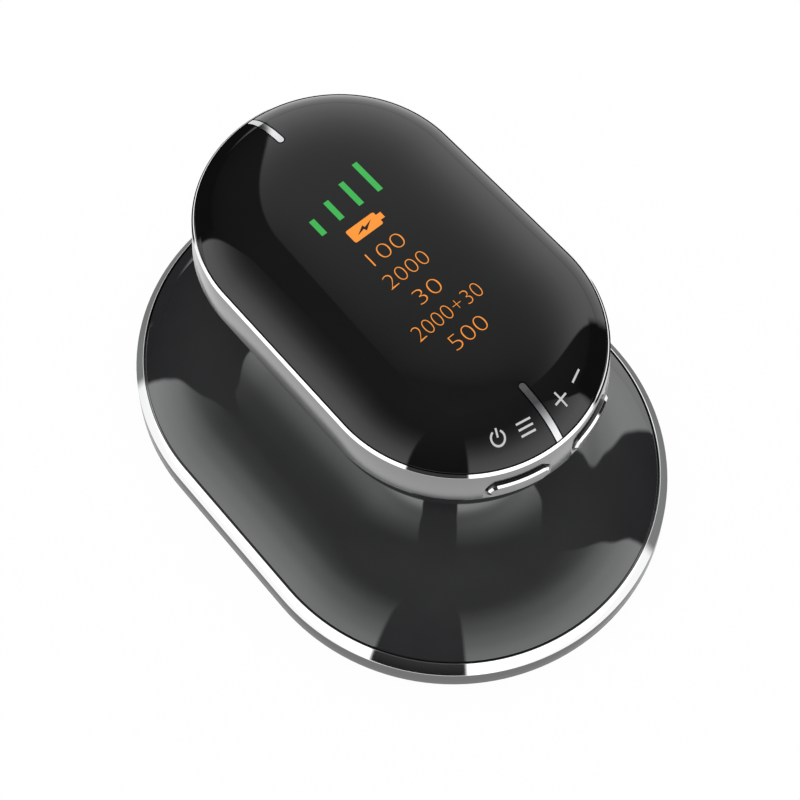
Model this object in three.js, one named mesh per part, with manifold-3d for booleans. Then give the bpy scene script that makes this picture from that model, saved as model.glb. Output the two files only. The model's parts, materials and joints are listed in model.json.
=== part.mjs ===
// Handheld microcurrent body device: a dished treatment base, a waist for the fingers, and an
// oval handle with a glossy display cover and two rocker keys in its chromed band.
// Millimetres, +Z up. The origin is under the middle of the base, on the plane that the
// electrodes rest on. +X points along the device towards its keys.

import * as THREE from 'three';
import { mergeVertices } from 'three/addons/utils/BufferGeometryUtils.js';
import Module from 'manifold-3d';

const wasm = await Module();
wasm.setup();

// Base: every outline of the device is two half circles joined by straight runs.
const baseStraight = 36.86;
const baseWidth = 97.14;
const ringFoot = 0.6;
const ringDraft = 0.4;
const ringFootRound = 0.3;
const bevelWidth = 1.94;
const bevelDrop = 2.26;
const ringHeight = 7.76;
const ringWall = 1.7;
const ringLip = 1.3;
const ringLipThickness = 1.0;
const ringFlangeThickness = 1.0;
const ringFlangeReach = 2.25;
const rimDepth = 1.75;

// Dish shell, from its rim up to the waist.
const rimRound = 0.06;
const waistRadius = 15.0;
const waistShare = 0.48913;
const dishWall = 2.2;
const dishCurveShares = [
  [0, 0], [0.0786, 0.0682], [0.1756, 0.1408], [0.2887, 0.2087], [0.418, 0.2603],
  [0.5635, 0.3032], [0.709, 0.3599], [0.8383, 0.4397], [0.9353, 0.5227], [0.99, 0.657], [1, 1],
];
const neckFlange = 2.0;
const neckOpening = 8.0;

// Handle tray, from the waist up to the band.
const handleStraight = 35.84;
const handleWidth = 58.72;
const overallHeight = 73.6;
const trayWall = 2.4;
const trayRimInset = 0.4;
const trayCurveShares = [
  [0, 0], [0.14, 0.2], [0.46, 0.38], [0.78, 0.56], [0.94, 0.78], [1, 1],
];
const trayStepHeight = 0.7;
const trayStepWall = 0.9;
const shelfDepth = 7.4;

// Chromed band round the handle.
const bandDrop = 15.29;
const bandHeight = 8.74;
const bandDraft = 0.87;
const bandFootRound = 0.3;
const lipWidth = 0.58;
const lipRise = 0.27;
const bandBore = 27.25;
const bandLedgeDepth = 1.15;
const bandLedgeThickness = 0.9;
const bandLedgeReach = 0.6;

// Display cover, a dome whose height falls off as a power of the distance from its centreline.
const domeDrop = 6.28;
const domePower = 5.35;
const panelWall = 2.0;
const panelEdge = 0.15;
const inlayWidth = 1.7;
const inlayThickness = 0.6;
const inlayLength = 12.4;
const inlayGap = 0.2;
const gasketThickness = 0.3;

// Rocker keys and what stands behind them.
const keyAngle = 18.4;
const keyRise = 3.29;
const keyLength = 12.3;
const keyHeight = 4.0;
const keyProud = 1.2;
const keyChamfer = 0.5;
const keyClearance = 0.25;
const slotChamfer = 0.25;
const keyFlangeLength = 14.0;
const keyFlangeHeight = 4.9;
const keyFlangeGap = 0.55;
const keyFlangeThickness = 3.0;
const pinRadius = 0.62;
const pinClearance = 0.1;
const pinSetback = 1.6;
const armWidth = 5.0;
const armThickness = 1.1;
const armGap = 0.3;
const armClearance = 0.5;
const holderWall = 1.2;
const holderLength = 12.0;
const switchSize = 3.2;
const switchDepth = 1.3;
const switchOffset = 4.2;
const plungerRadius = 0.8;
const plungerLength = 1.3;
const plungerProud = 0.9;
const plungerClearance = 0.2;
const contactGap = 0.1;

// Charging socket in the other end of the band.
const socketLength = 8.94;
const socketHeight = 3.26;
const socketDepth = 7.3;
const socketWall = 0.3;
const socketRecess = 0.8;
const socketClearance = 0.25;
const tongueLength = 6.7;
const tongueThickness = 0.7;
const chargingBoardLength = 8.6;
const chargingBoardWidth = 15.0;

// Boards, display stack and battery.
const boardThickness = 1.2;
const fitGap = 0.1;
const displayBoardLength = 60.0;
const displayBoardWidth = 38.0;
const cornerRadius = 4.5;
const lightGuideLength = 50.0;
const lightGuideWidth = 22.0;
const lightWellWall = 1.2;
const lightWells = 7;
const batteryLength = 53.0;
const batteryWidth = 32.0;
const batteryThickness = 9.0;
const batteryRound = 3.5;
const foamThickness = 0.8;
const carrierWall = 1.2;
const carrierGap = 0.3;
const carrierDrop = 7.31;

// Base plate and treatment face.
const plateThickness = 2.0;
const plateGap = 0.3;
const plateRimWall = 1.6;
const emsInset = 21.07;
const emsWidth = 12.0;
const emsSpread = 62.0;
const emsThickness = 1.3;
const emsEdge = 0.4;
const studRadius = 1.6;
const studTop = 6.4;
const studInset = 1.7;
const rfWindowShare = 0.353;
const rfCount = 4;
const rfEdge = 3.63;
const rfThickness = 1.6;
const rfDomeShares = [[0, 0], [0.55, 0.04], [0.85, 0.2], [1, 0.6], [1, 1]];
const holeClearance = 0.2;
const windowInset = 31.57;
const windowFlange = 1.6;
const windowFlangeThickness = 1.0;
const ledBoardInset = 26.57;
const ledBoardBottom = 5.0;
const ledSize = 2.4;
const ledThickness = 0.9;
const ledsPerRow = 6;
const ledPitch = 9.6;
const ledRowOffset = 11.0;
const mainBoardInset = 17.77;
const mainBoardBottom = 9.2;
const contactRadius = 0.9;

// Screws and the bosses that take them.
const screwRadius = 1.1;
const screwHeadRadius = 2.2;
const screwHeadHeight = 1.6;
const screwLength = 7.0;
const screwDriveRadius = 1.0;
const screwDriveDepth = 0.8;
const bossRadius = 3.0;
const pilotRadius = 1.3;
const passRadius = 1.5;
const seatWall = 1.2;
const baseBossInset = 14.07;
const baseBossAngle = 45.0;
const neckBossOffset = 10.2;
const boardPostReach = 6.0;
const boardPostInset = 4.8;
const ledPostInset = 1.4;
const ledPostRadius = 1.4;

// Components on the main board: length, width, height, and where each one stands.
const transformerSize = [15.0, 13.0, 10.0];
const transformerPlace = [10.0, 0];
const windingShare = 0.8;
const inductorRadius = 5.0;
const inductorHeight = 6.0;
const inductorPlace = [-9.0, 5.0];
const capacitorRadius = 4.0;
const capacitorHeight = 12.0;
const capacitorGroove = 0.4;
const capacitorPlace = [-20.0, 5.0];
const beeperRadius = 5.5;
const beeperHeight = 4.0;
const beeperPlace = [25.0, 3.0];
const ribbonWidth = 12.0;
const ribbonThickness = 0.3;
const ribbonPlace = -5.0;
const ribbonFoot = 2.7;
const ribbonDrop = 0.8;

// How finely round shapes are divided.
const arcSteps = 12;
const dishSteps = 10;
const dishInnerSteps = 6;
const traySteps = 8;
const trayInnerSteps = 5;
const domeSteps = 8;
const domeInnerSteps = 5;
const sectorSteps = 5;
const cornerSteps = 2;
const drumSteps = 10;
const keyRoundSteps = 72;
const rfSteps = 12;
const screwSteps = 8;
const overrun = 1.0;

const baseHalf = baseStraight / 2;
const handleHalf = handleStraight / 2;
const baseRadius = baseWidth / 2;
const handleRadius = handleWidth / 2;
const emsInnerRadius = baseRadius - emsInset;
const windowRadius = baseRadius - windowInset;
const rfRadius = windowRadius * rfWindowShare;
const rfRowEnd = baseHalf + windowRadius - rfEdge - rfRadius;
const rfPitch = rfRowEnd * 2 / (rfCount - 1);
const ledBoardRadius = baseRadius - ledBoardInset;
const ledPostOffset = ledBoardRadius - ledPostInset;
const mainBoardRadius = baseRadius - mainBoardInset;
const boardPostOffset = mainBoardRadius - boardPostInset;
const baseBossRadius = baseRadius - baseBossInset;
const ringTop = ringFoot + ringHeight;
const ringBevelOuter = baseRadius - ringDraft;
const ringBevelInner = ringBevelOuter - bevelWidth;
const rimBore = ringBevelInner - plateGap / 2;
const rimRadius = rimBore - plateGap / 2;
const flangeTop = ringTop - rimDepth;
const flangeBottom = flangeTop - ringFlangeThickness;
const rimBottom = flangeTop + fitGap;
const plateTop = ringFoot + plateThickness;
const plateRadius = baseRadius - ringWall - ringFootRound - ringLip - plateGap;
const waistHeight = overallHeight * waistShare;
const bandBottom = overallHeight - bandDrop;
const bandTop = bandBottom + bandHeight;
const keyHeightCentre = bandBottom + keyRise;
const carrierFloorHeight = bandBottom - carrierDrop;
const lipOuter = handleRadius - bandDraft;
const lipInner = lipOuter - lipWidth;
const lipTop = bandTop + lipRise;
const ledgeTop = bandTop - bandLedgeDepth;
const ledgeBottom = ledgeTop - bandLedgeThickness;
const panelRadius = lipInner - panelEdge;
const trayTop = bandBottom - fitGap;
const trayRim = handleRadius - trayRimInset;
const trayBottom = waistHeight + fitGap;
const trayStepTop = trayTop + trayStepHeight;
const keyTurn = THREE.MathUtils.degToRad(keyAngle);
const mainBoardTop = mainBoardBottom + boardThickness;
const baseScrewSeat = emsThickness + 2 * fitGap + screwHeadHeight;
const baseCupTop = baseScrewSeat + seatWall;

const finishes = {
  pianoBlack: [0x0b0b0c, 0.05, 0],
  graphite: [0x2a2c2d, 0.08, 0.1],
  chrome: [0xd6d8da, 0.06, 1],
  satinSilver: [0xc4c6c8, 0.25, 1],
  stainless: [0xc9cbcc, 0.18, 1],
  blackPlastic: [0x17181a, 0.5, 0],
  frosted: [0xe6e4df, 0.35, 0],
  silicone: [0x2b2b2d, 0.7, 0],
  boardGreen: [0x1f5a3a, 0.45, 0],
  cellSilver: [0xa9adb2, 0.35, 0.6],
  ferrite: [0x3a3836, 0.6, 0],
  steel: [0x9da1a5, 0.3, 1],
  ribbonAmber: [0xb4702a, 0.4, 0],
  foam: [0x333335, 0.9, 0],
};

// Closed solid of a three.js geometry, ready to be joined and cut.
function solid(geometry) {
  const bare = geometry.clone();
  bare.deleteAttribute('normal');
  bare.deleteAttribute('uv');
  const merged = mergeVertices(bare, 1e-5);
  const index = merged.index.array;
  const triangles = [];
  for (let i = 0; i < index.length; i += 3) {
    const [a, b, c] = [index[i], index[i + 1], index[i + 2]];
    if (a !== b && b !== c && c !== a) triangles.push(a, b, c);
  }
  const mesh = new wasm.Mesh({
    numProp: 3,
    vertProperties: new Float32Array(merged.attributes.position.array),
    triVerts: new Uint32Array(triangles),
  });
  return new wasm.Manifold(mesh);
}

// three.js mesh of a solid, in one of the named finishes.
function piece(name, body, finish) {
  const source = body.getMesh();
  const geometry = new THREE.BufferGeometry();
  const points = new Float32Array(source.vertProperties);
  geometry.setAttribute('position', new THREE.BufferAttribute(points, source.numProp));
  geometry.setIndex(new THREE.BufferAttribute(new Uint32Array(source.triVerts), 1));
  geometry.computeVertexNormals();
  const [color, roughness, metalness] = finishes[finish];
  const material = new THREE.MeshStandardMaterial({ color, roughness, metalness });
  const mesh = new THREE.Mesh(geometry, material);
  mesh.name = name;
  return mesh;
}

// Geometry of point rows joined into bands, with every row closed on itself.
function rowsGeometry(rows, closed) {
  const width = rows[0].length;
  const index = [];
  const bands = closed ? rows.length : rows.length - 1;
  for (let i = 0; i < bands; i++) {
    const next = (i + 1) % rows.length;
    for (let k = 0; k < width; k++) {
      const far = (k + 1) % width;
      const [a, b] = [i * width + k, i * width + far];
      const [c, d] = [next * width + far, next * width + k];
      index.push(a, b, c, a, c, d);
    }
  }
  const geometry = new THREE.BufferGeometry();
  geometry.setAttribute('position', new THREE.Float32BufferAttribute(rows.flat(2), 3));
  geometry.setIndex(index);
  return geometry;
}

// Solid swept round a stadium. The profile is [radius, height, half straight] points, taken
// anticlockwise with the radius to the right. It closes on itself or ends on the centreline.
function stadium(profile, half) {
  const rows = profile.map(([radius, height, ownHalf = half]) => {
    const row = [];
    for (const side of [1, -1]) {
      for (let k = 0; k <= arcSteps; k++) {
        const angle = Math.PI * (k / arcSteps - 0.5);
        const x = side * (ownHalf + radius * Math.cos(angle));
        row.push([x, side * radius * Math.sin(angle), height]);
      }
    }
    return row;
  });
  const onAxis = profile[0][0] === 0 && profile[profile.length - 1][0] === 0;
  return solid(rowsGeometry(rows, !onAxis));
}

// Solid turned round the Z axis at a place, from a [radius, height] profile.
function turned(profile, [x, y] = [0, 0], steps = drumSteps) {
  const points = profile.map(([radius, height]) => new THREE.Vector2(radius, height));
  const geometry = new THREE.LatheGeometry(points, steps);
  geometry.rotateX(Math.PI / 2);
  geometry.translate(x, y, 0);
  return solid(geometry);
}

function drum(radius, bottom, top, place, steps = drumSteps) {
  return turned([[0, bottom], [radius, bottom], [radius, top], [0, top]], place, steps);
}

function block([x0, x1], [y0, y1], [z0, z1]) {
  const geometry = new THREE.BoxGeometry(x1 - x0, y1 - y0, z1 - z0);
  geometry.translate((x0 + x1) / 2, (y0 + y1) / 2, (z0 + z1) / 2);
  return solid(geometry);
}

function roundedRectangle(length, width, radius) {
  const shape = new THREE.Shape();
  const [x, y] = [length / 2 - radius, width / 2 - radius];
  shape.absarc(x, y, radius, 0, Math.PI / 2, false);
  shape.absarc(-x, y, radius, Math.PI / 2, Math.PI, false);
  shape.absarc(-x, -y, radius, Math.PI, 1.5 * Math.PI, false);
  shape.absarc(x, -y, radius, 1.5 * Math.PI, 2 * Math.PI, false);
  return shape;
}

// Flat plate of a shape, from one height to another.
function plate(shape, bottom, top, curveSegments = cornerSteps) {
  const options = { depth: top - bottom, bevelEnabled: false, curveSegments };
  const geometry = new THREE.ExtrudeGeometry(shape, options);
  geometry.translate(0, 0, bottom);
  return solid(geometry);
}

// The points of a curve moved to its left by a distance.
function offsetCurve(points, distance) {
  return points.map(([x, y], i) => {
    const [ax, ay] = points[Math.max(i - 1, 0)];
    const [bx, by] = points[Math.min(i + 1, points.length - 1)];
    const length = Math.hypot(bx - ax, by - ay);
    return [x - (by - ay) / length * distance, y + (bx - ax) / length * distance];
  });
}

// Smooth curve between two corners, through shares of its run and rise.
function shareCurve([x0, y0], [x1, y1], shares, steps) {
  const points = shares.map(([u, v]) => new THREE.Vector2(x0 + (x1 - x0) * u, y0 + (y1 - y0) * v));
  return new THREE.SplineCurve(points).getPoints(steps).map(({ x, y }) => [x, y]);
}

const corner = (signX, signY, x, y) => [signX * x, signY * y];
const fourCorners = (x, y) => [
  corner(1, 1, x, y), corner(-1, 1, x, y), corner(-1, -1, x, y), corner(1, -1, x, y),
];

// Chromed ring round the base, a channel with a lip below and a flange that is clamped.
function baseRing() {
  const wallInside = baseRadius - ringWall - ringFootRound;
  return stadium([
    [plateRadius + plateGap, ringFoot],
    [baseRadius - ringFootRound, ringFoot],
    [baseRadius, ringFoot + ringFootRound],
    [ringBevelOuter, ringTop - bevelDrop],
    [ringBevelInner, ringTop],
    [rimBore, ringTop - fitGap],
    [rimBore, flangeTop],
    [rimBore - ringFlangeReach, flangeTop],
    [rimBore - ringFlangeReach, flangeBottom],
    [wallInside, flangeBottom],
    [wallInside, ringFoot + ringLipThickness],
    [plateRadius + plateGap, ringFoot + ringLipThickness],
  ], baseHalf);
}

function dishCurve(steps) {
  const start = [rimRadius, ringTop - rimRound];
  return shareCurve(start, [waistRadius, waistHeight], dishCurveShares, steps);
}

// The straight runs of the base are a little longer than those of the handle, and the shell
// takes that up between its rim and its waist.
function halfAt(radius) {
  const share = (rimRadius - radius) / (rimRadius - waistRadius);
  return baseHalf + (handleHalf - baseHalf) * THREE.MathUtils.clamp(share, 0, 1);
}

const withHalf = ([radius, height]) => [radius, height, halfAt(radius)];

function baseBossPlaces() {
  const angle = THREE.MathUtils.degToRad(baseBossAngle);
  const reach = baseHalf + baseBossRadius * Math.cos(angle);
  return fourCorners(reach, baseBossRadius * Math.sin(angle));
}

const neckBossPlaces = () => fourCorners(handleHalf, neckBossOffset);
const boardPostPlaces = () => fourCorners(baseHalf + boardPostReach, boardPostOffset);

// Dish shell: one moulding from the rim to the waist, with a flange across the waist and a
// boss for each base screw.
function dishShell() {
  const outer = dishCurve(dishSteps);
  const lowest = rimBottom + fitGap * 4;
  const inner = offsetCurve(dishCurve(dishInnerSteps), dishWall);
  const kept = inner.filter(([, z]) => z > lowest && z < waistHeight - neckFlange - fitGap);
  const flangeUnder = waistHeight - neckFlange;
  const shell = stadium([
    [rimRadius, rimBottom],
    ...outer,
    [neckOpening, waistHeight],
    [neckOpening, flangeUnder],
    [waistRadius - dishWall, flangeUnder],
    ...kept.reverse(),
    [rimRadius - dishWall, rimBottom],
  ].map(withHalf), baseHalf);
  const filled = stadium([[0, rimBottom], [rimRadius, rimBottom], ...outer, [0, waistHeight]]
    .map(withHalf), baseHalf);
  let result = shell;
  for (const place of baseBossPlaces()) {
    const upper = drum(bossRadius, rimBottom, waistHeight, place).intersect(filled);
    const lower = drum(bossRadius, baseCupTop + fitGap, rimBottom + fitGap, place);
    result = result.add(upper).add(lower);
  }
  for (const place of baseBossPlaces()) {
    result = result.subtract(drum(pilotRadius, 0, baseScrewSeat + screwLength + fitGap, place));
  }
  for (const place of neckBossPlaces()) {
    result = result.subtract(drum(passRadius, flangeUnder - overrun, trayBottom, place));
  }
  return result;
}

function trayCurve(steps) {
  return shareCurve([waistRadius, trayBottom], [trayRim, trayTop], trayCurveShares, steps);
}

// Handle tray: the underside of the handle, with bosses for the neck screws, which also carry
// the battery, and shelves under the key holders and the charging board.
function handleTray() {
  const outer = trayCurve(traySteps);
  const inner = offsetCurve(trayCurve(trayInnerSteps), trayWall);
  const flangeOver = trayBottom + neckFlange;
  const stepOuter = bandBore + bandFootRound;
  const stepInner = stepOuter - trayStepWall;
  const stepFoot = holderBottom() - fitGap * 2;
  const kept = inner.filter(([r, z]) => z > flangeOver && z < stepFoot && r < stepInner);
  const shell = stadium([
    [neckOpening, trayBottom],
    ...outer,
    [stepOuter, trayTop],
    [stepOuter, trayStepTop],
    [stepInner, trayStepTop],
    [stepInner, stepFoot],
    ...kept.reverse(),
    [waistRadius - trayWall, flangeOver],
    [neckOpening, flangeOver],
  ], handleHalf);
  const filled = stadium([[0, trayBottom], ...outer, [0, trayTop]], handleHalf);
  const parts = neckBossPlaces().map((place) =>
    drum(bossRadius, flangeOver - fitGap, carrierFloorHeight - fitGap, place));
  parts.push(chargingShelf().intersect(filled));
  for (const side of [-1, 1]) {
    parts.push(keyShelf().rotate([0, 0, side * keyAngle]).translate([handleHalf, 0, 0])
      .intersect(filled));
  }
  let result = shell;
  for (const part of parts) result = result.add(part);
  for (const place of neckBossPlaces()) {
    result = result.subtract(drum(pilotRadius, trayBottom - overrun, screwTopInTray(), place));
  }
  return result;
}

const screwTopInTray = () => waistHeight - neckFlange + screwLength + overrun;

// Shelves in the tray that stand under the charging board and the key holders.
const shelfBottom = () => trayTop - shelfDepth;

function chargingShelf() {
  const outside = handleHalf + bandBore - trayWall;
  const inside = outside - chargingBoardLength + carrierWall;
  const top = socketBottom() - boardThickness - fitGap * 2;
  return block([-outside, -inside], [-chargingBoardWidth / 3, chargingBoardWidth / 3],
    [shelfBottom(), top]);
}

function keyShelf() {
  const outside = pinDistance() + pinSetback;
  const half = holderLength / 2;
  return block([holderBack(), outside], [-half, half], [shelfBottom(), holderBottom() - fitGap]);
}

// Radius of the band's outside at a height.
function bandRadiusAt(height) {
  return handleRadius - bandDraft * (height - bandBottom) / bandHeight;
}

// Chromed band: a drafted wall with a narrow bevelled lip and a ledge for the cover.
function handleBand() {
  const wall = stadium([
    [bandBore + bandFootRound + fitGap, bandBottom],
    [handleRadius - bandFootRound, bandBottom],
    [handleRadius, bandBottom + bandFootRound],
    [lipOuter, bandTop],
    [lipInner, lipTop],
    [lipInner, ledgeTop],
    [bandBore - bandLedgeReach, ledgeTop],
    [bandBore - bandLedgeReach, ledgeBottom],
    [bandBore, ledgeBottom],
    [bandBore, trayStepTop + fitGap],
    [bandBore + bandFootRound + fitGap, trayStepTop + fitGap],
  ], handleHalf);
  const slot = keySlot();
  const open = 2 * socketClearance;
  const port = pillPrism(socketLength + open, socketHeight + open, bandBore - lipWidth * 2,
    handleRadius + overrun);
  let result = wall.subtract(port.rotate([0, 0, 180]).translate([-handleHalf, 0, 0]));
  for (const side of [-1, 1]) {
    result = result.subtract(slot.rotate([0, 0, side * keyAngle]).translate([handleHalf, 0, 0]));
  }
  return result;
}

// Solid made of pill outlines, each bent round the end of the handle at its own distance from
// the arc's centre. A level is [distance, length, height], with its length as it is on the band.
function bentPill(levels, endSteps = 5, sideSteps = 6) {
  const turn = bandRadiusAt(keyHeightCentre);
  const rows = levels.map(([distance, length, height]) => {
    const radius = height / 2;
    const run = length / 2 - radius;
    const upper = [];
    for (let k = 0; k <= endSteps; k++) {
      const angle = Math.PI - k / endSteps * Math.PI / 2;
      upper.push([-run + radius * Math.cos(angle), radius * Math.sin(angle)]);
    }
    for (let k = 1; k < sideSteps; k++) upper.push([-run + 2 * run * k / sideSteps, radius]);
    for (let k = 0; k <= endSteps; k++) {
      const angle = Math.PI / 2 * (1 - k / endSteps);
      upper.push([run + radius * Math.cos(angle), radius * Math.sin(angle)]);
    }
    const lower = upper.slice(1, -1).reverse().map(([along, up]) => [along, -up]);
    return [...upper, ...lower].map(([along, up]) => {
      const angle = along / turn;
      return [distance * Math.cos(angle), distance * Math.sin(angle), keyHeightCentre + up];
    });
  });
  const geometry = rowsGeometry(rows, false);
  const width = rows[0].length;
  const last = (rows.length - 1) * width;
  const index = [...geometry.index.array];
  for (let k = 0; k < width / 2; k++) {
    const [a, b] = [k, k + 1];
    const [c, d] = [(width - k) % width, width - k - 1];
    index.push(a, c, d, a, d, b);
    index.push(last + a, last + d, last + c, last + a, last + b, last + d);
  }
  geometry.setIndex(index);
  const body = solid(geometry);
  return body.volume() < 0 ? solid(flipped(geometry)) : body;
}

function flipped(geometry) {
  const index = geometry.index.array;
  const turnedOver = [];
  for (let i = 0; i < index.length; i += 3) turnedOver.push(index[i], index[i + 2], index[i + 1]);
  const result = geometry.clone();
  result.setIndex(turnedOver);
  return result;
}

// Slot through the band for a key, widened at its mouth.
function keySlot() {
  const outside = bandRadiusAt(keyHeightCentre);
  const open = 2 * keyClearance;
  const wide = open + 2 * slotChamfer;
  return bentPill([
    [bandBore - overrun, keyLength + open, keyHeight + open],
    [outside - slotChamfer, keyLength + open, keyHeight + open],
    [outside, keyLength + wide, keyHeight + wide],
    [outside + overrun, keyLength + wide, keyHeight + wide],
  ]);
}

const pinDistance = () => bandBore - keyFlangeGap - pinSetback;
const flangeBack = () => bandBore - keyFlangeGap - keyFlangeThickness;
const plungerTip = () => flangeBack() - contactGap;
const switchFront = () => plungerTip() - plungerProud;
const switchBack = () => switchFront() - switchDepth;
const keyBoardFront = () => switchBack() - fitGap;
const holderFront = () => keyBoardFront() - boardThickness - fitGap;
const holderBack = () => holderFront() - holderWall;
const holderBottom = () => keyHeightCentre - keyFlangeHeight / 2 - armGap - armThickness;
const holderTop = () => keyHeightCentre + keyFlangeHeight / 2 + armGap + armThickness;

// Rocker key: a bevelled bar bent to the band, on a wider flange that turns on the pin.
function rockerKey() {
  const face = bandRadiusAt(keyHeightCentre) + keyProud;
  const bar = bentPill([
    [pinDistance(), keyLength, keyHeight],
    [face - keyChamfer, keyLength, keyHeight],
    [face, keyLength - 2 * keyChamfer, keyHeight - 2 * keyChamfer],
  ]);
  const [half, rise] = [keyFlangeLength / 2, keyFlangeHeight / 2];
  const flangeRadius = bandBore - keyFlangeGap;
  const low = keyHeightCentre - rise;
  const high = keyHeightCentre + rise;
  const round = drum(flangeRadius, low, high, [0, 0], keyRoundSteps);
  const flange = block([flangeBack(), flangeRadius + overrun], [-half, half], [low, high]);
  const hole = drum(pinRadius + pinClearance, low - overrun, high + overrun, [pinDistance(), 0]);
  return bar.add(flange.intersect(round)).subtract(hole);
}

// Holder behind a key: a back wall with two arms that hold the ends of the pin.
function keyHolder() {
  const half = holderLength / 2;
  const wall = block([holderBack(), holderFront()], [-half, half], [holderBottom(), holderTop()]);
  const reach = [holderFront() - holderWall / 2, bandBore - bandLedgeReach - armClearance];
  const arm = [-armWidth / 2, armWidth / 2];
  const lower = block(reach, arm, [holderBottom(), holderBottom() + armThickness]);
  const upper = block(reach, arm, [holderTop() - armThickness, holderTop()]);
  const bore = pinRadius + pinClearance / 2;
  const hole = drum(bore, holderBottom() - overrun, holderTop() + overrun, [pinDistance(), 0]);
  return wall.add(lower).add(upper).subtract(hole);
}

// Drum whose axis points away from the centre of the arc, at a key switch.
function outwardDrum(radius, inner, outer, across) {
  return drum(radius, inner, outer).rotate([0, 90, 0]).translate([0, across, keyHeightCentre]);
}

function keySwitch(across) {
  const half = switchSize / 2;
  const sides = [across - half, across + half];
  const heights = [keyHeightCentre - half, keyHeightCentre + half];
  const well = plungerRadius + plungerClearance;
  const depth = switchFront() - (plungerLength - plungerProud) - plungerClearance * 2;
  return block([switchBack(), switchFront()], sides, heights)
    .subtract(outwardDrum(well, depth, switchFront() + overrun, across));
}

function keyBoard() {
  const half = holderLength / 2;
  const rise = keyFlangeHeight / 2;
  return block([keyBoardFront() - boardThickness, keyBoardFront()], [-half, half],
    [keyHeightCentre - rise, keyHeightCentre + rise]);
}

// One key with its pin, holder, board, switches and plungers, turned to its place in the band.
function keyAssembly(name, side) {
  const group = new THREE.Group();
  group.position.x = handleHalf;
  group.rotation.z = side * keyTurn;
  const pin = drum(pinRadius, holderBottom(), holderTop(), [pinDistance(), 0]);
  group.add(piece(`${name}_key`, rockerKey(), 'chrome'));
  group.add(piece(`${name}_key_pin`, pin, 'steel'));
  group.add(piece(`${name}_key_holder`, keyHolder(), 'blackPlastic'));
  group.add(piece(`${name}_key_board`, keyBoard(), 'boardGreen'));
  for (const [place, hand] of [['outer', side], ['inner', -side]]) {
    const across = hand * switchOffset;
    const plunger = outwardDrum(plungerRadius, plungerTip() - plungerLength, plungerTip(), across);
    group.add(piece(`${name}_${place}_switch`, keySwitch(across), 'blackPlastic'));
    group.add(piece(`${name}_${place}_plunger`, plunger, 'frosted'));
  }
  return group;
}

// Height of the cover's outside at a distance from the centreline.
function domeHeight(radius) {
  return overallHeight - domeDrop * (radius / lipInner) ** domePower;
}

// Points up the cover's outside from its edge to the centreline, closer where it bends most.
function domeCurve(steps) {
  const points = [];
  for (let k = 0; k <= steps; k++) {
    const radius = panelRadius * (1 - (k / steps) ** 2);
    points.push([radius, domeHeight(radius)]);
  }
  return points;
}

// Body under the cover's outside, at a depth below it.
function domeBody(depth) {
  const curve = offsetCurve(domeCurve(domeSteps), depth);
  curve[curve.length - 1] = [0, overallHeight - depth];
  const bottom = ledgeTop - overrun;
  return stadium([[0, bottom], [curve[0][0], bottom], ...curve], handleHalf);
}

// Upright prism of an inlay strip's outline, running from its round inner end past the edge.
function inlayPrism(side, grow) {
  const inner = handleHalf + panelRadius - inlayLength;
  const outer = handleHalf + panelRadius + overrun;
  const radius = inlayWidth / 2 + grow;
  const start = side * Math.PI / 2;
  const shape = new THREE.Shape();
  shape.absarc(side * (inner + inlayWidth / 2), 0, radius, start, start + Math.PI, false);
  shape.lineTo(side * outer, -side * radius);
  shape.lineTo(side * outer, side * radius);
  return plate(shape, skirtBottom() + inlayThickness - grow, overallHeight + overrun, sectorSteps);
}

const skirtBottom = () => ledgeTop + gasketThickness + 2 * fitGap;

// Glossy cover: a domed shell with a seat round its edge and a groove for each inlay strip.
function topPanel() {
  const outer = domeCurve(domeSteps);
  const inner = offsetCurve(domeCurve(domeInnerSteps), panelWall);
  const skirt = panelRadius - panelWall;
  const kept = inner.filter(([r]) => r > panelEdge && r < skirt - fitGap);
  let result = stadium([
    [skirt, skirtBottom()],
    [panelRadius, skirtBottom()],
    ...outer,
    [0, overallHeight - panelWall],
    ...kept.reverse(),
  ], handleHalf);
  const floor = domeBody(inlayThickness + fitGap);
  for (const side of [1, -1]) {
    result = result.subtract(inlayPrism(side, inlayGap).subtract(floor));
  }
  return result;
}

function inlay(side) {
  return inlayPrism(side, 0).intersect(domeBody(0)).subtract(domeBody(inlayThickness));
}

function panelGasket() {
  const outer = panelRadius - fitGap;
  const inner = bandBore - bandLedgeReach + fitGap;
  const [bottom, top] = [ledgeTop + fitGap, ledgeTop + fitGap + gasketThickness];
  return stadium([[inner, bottom], [outer, bottom], [outer, top], [inner, top]], handleHalf);
}

const batteryBottom = carrierFloorHeight + carrierWall + fitGap;
const foamBottom = batteryBottom + batteryThickness + fitGap;
const displayBoardBottom = foamBottom + foamThickness + fitGap;
const displayBoardTop = displayBoardBottom + boardThickness;

// Tray of thin walls that holds the cell and carries the display board on its rim.
function batteryCarrier() {
  const room = 2 * carrierGap;
  const [length, width] = [batteryLength + room, batteryWidth + room];
  const outer = roundedRectangle(length + 2 * carrierWall, width + 2 * carrierWall, cornerRadius);
  const inner = roundedRectangle(length, width, room);
  const body = plate(outer, carrierFloorHeight, displayBoardBottom - fitGap);
  const hollow = plate(inner, carrierFloorHeight + carrierWall, displayBoardTop);
  const opening = roundedRectangle(batteryLength / 2, batteryWidth / 2, cornerRadius);
  return body.subtract(hollow).subtract(plate(opening, carrierFloorHeight - overrun, batteryBottom));
}

function batteryCell() {
  const width = batteryThickness;
  const section = roundedRectangle(batteryWidth, width, batteryRound);
  const options = { depth: batteryLength, bevelEnabled: false, curveSegments: cornerSteps };
  const geometry = new THREE.ExtrudeGeometry(section, options);
  geometry.translate(0, 0, -batteryLength / 2);
  geometry.rotateX(Math.PI / 2);
  geometry.rotateZ(Math.PI / 2);
  geometry.translate(0, 0, batteryBottom + width / 2);
  return solid(geometry);
}

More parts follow.
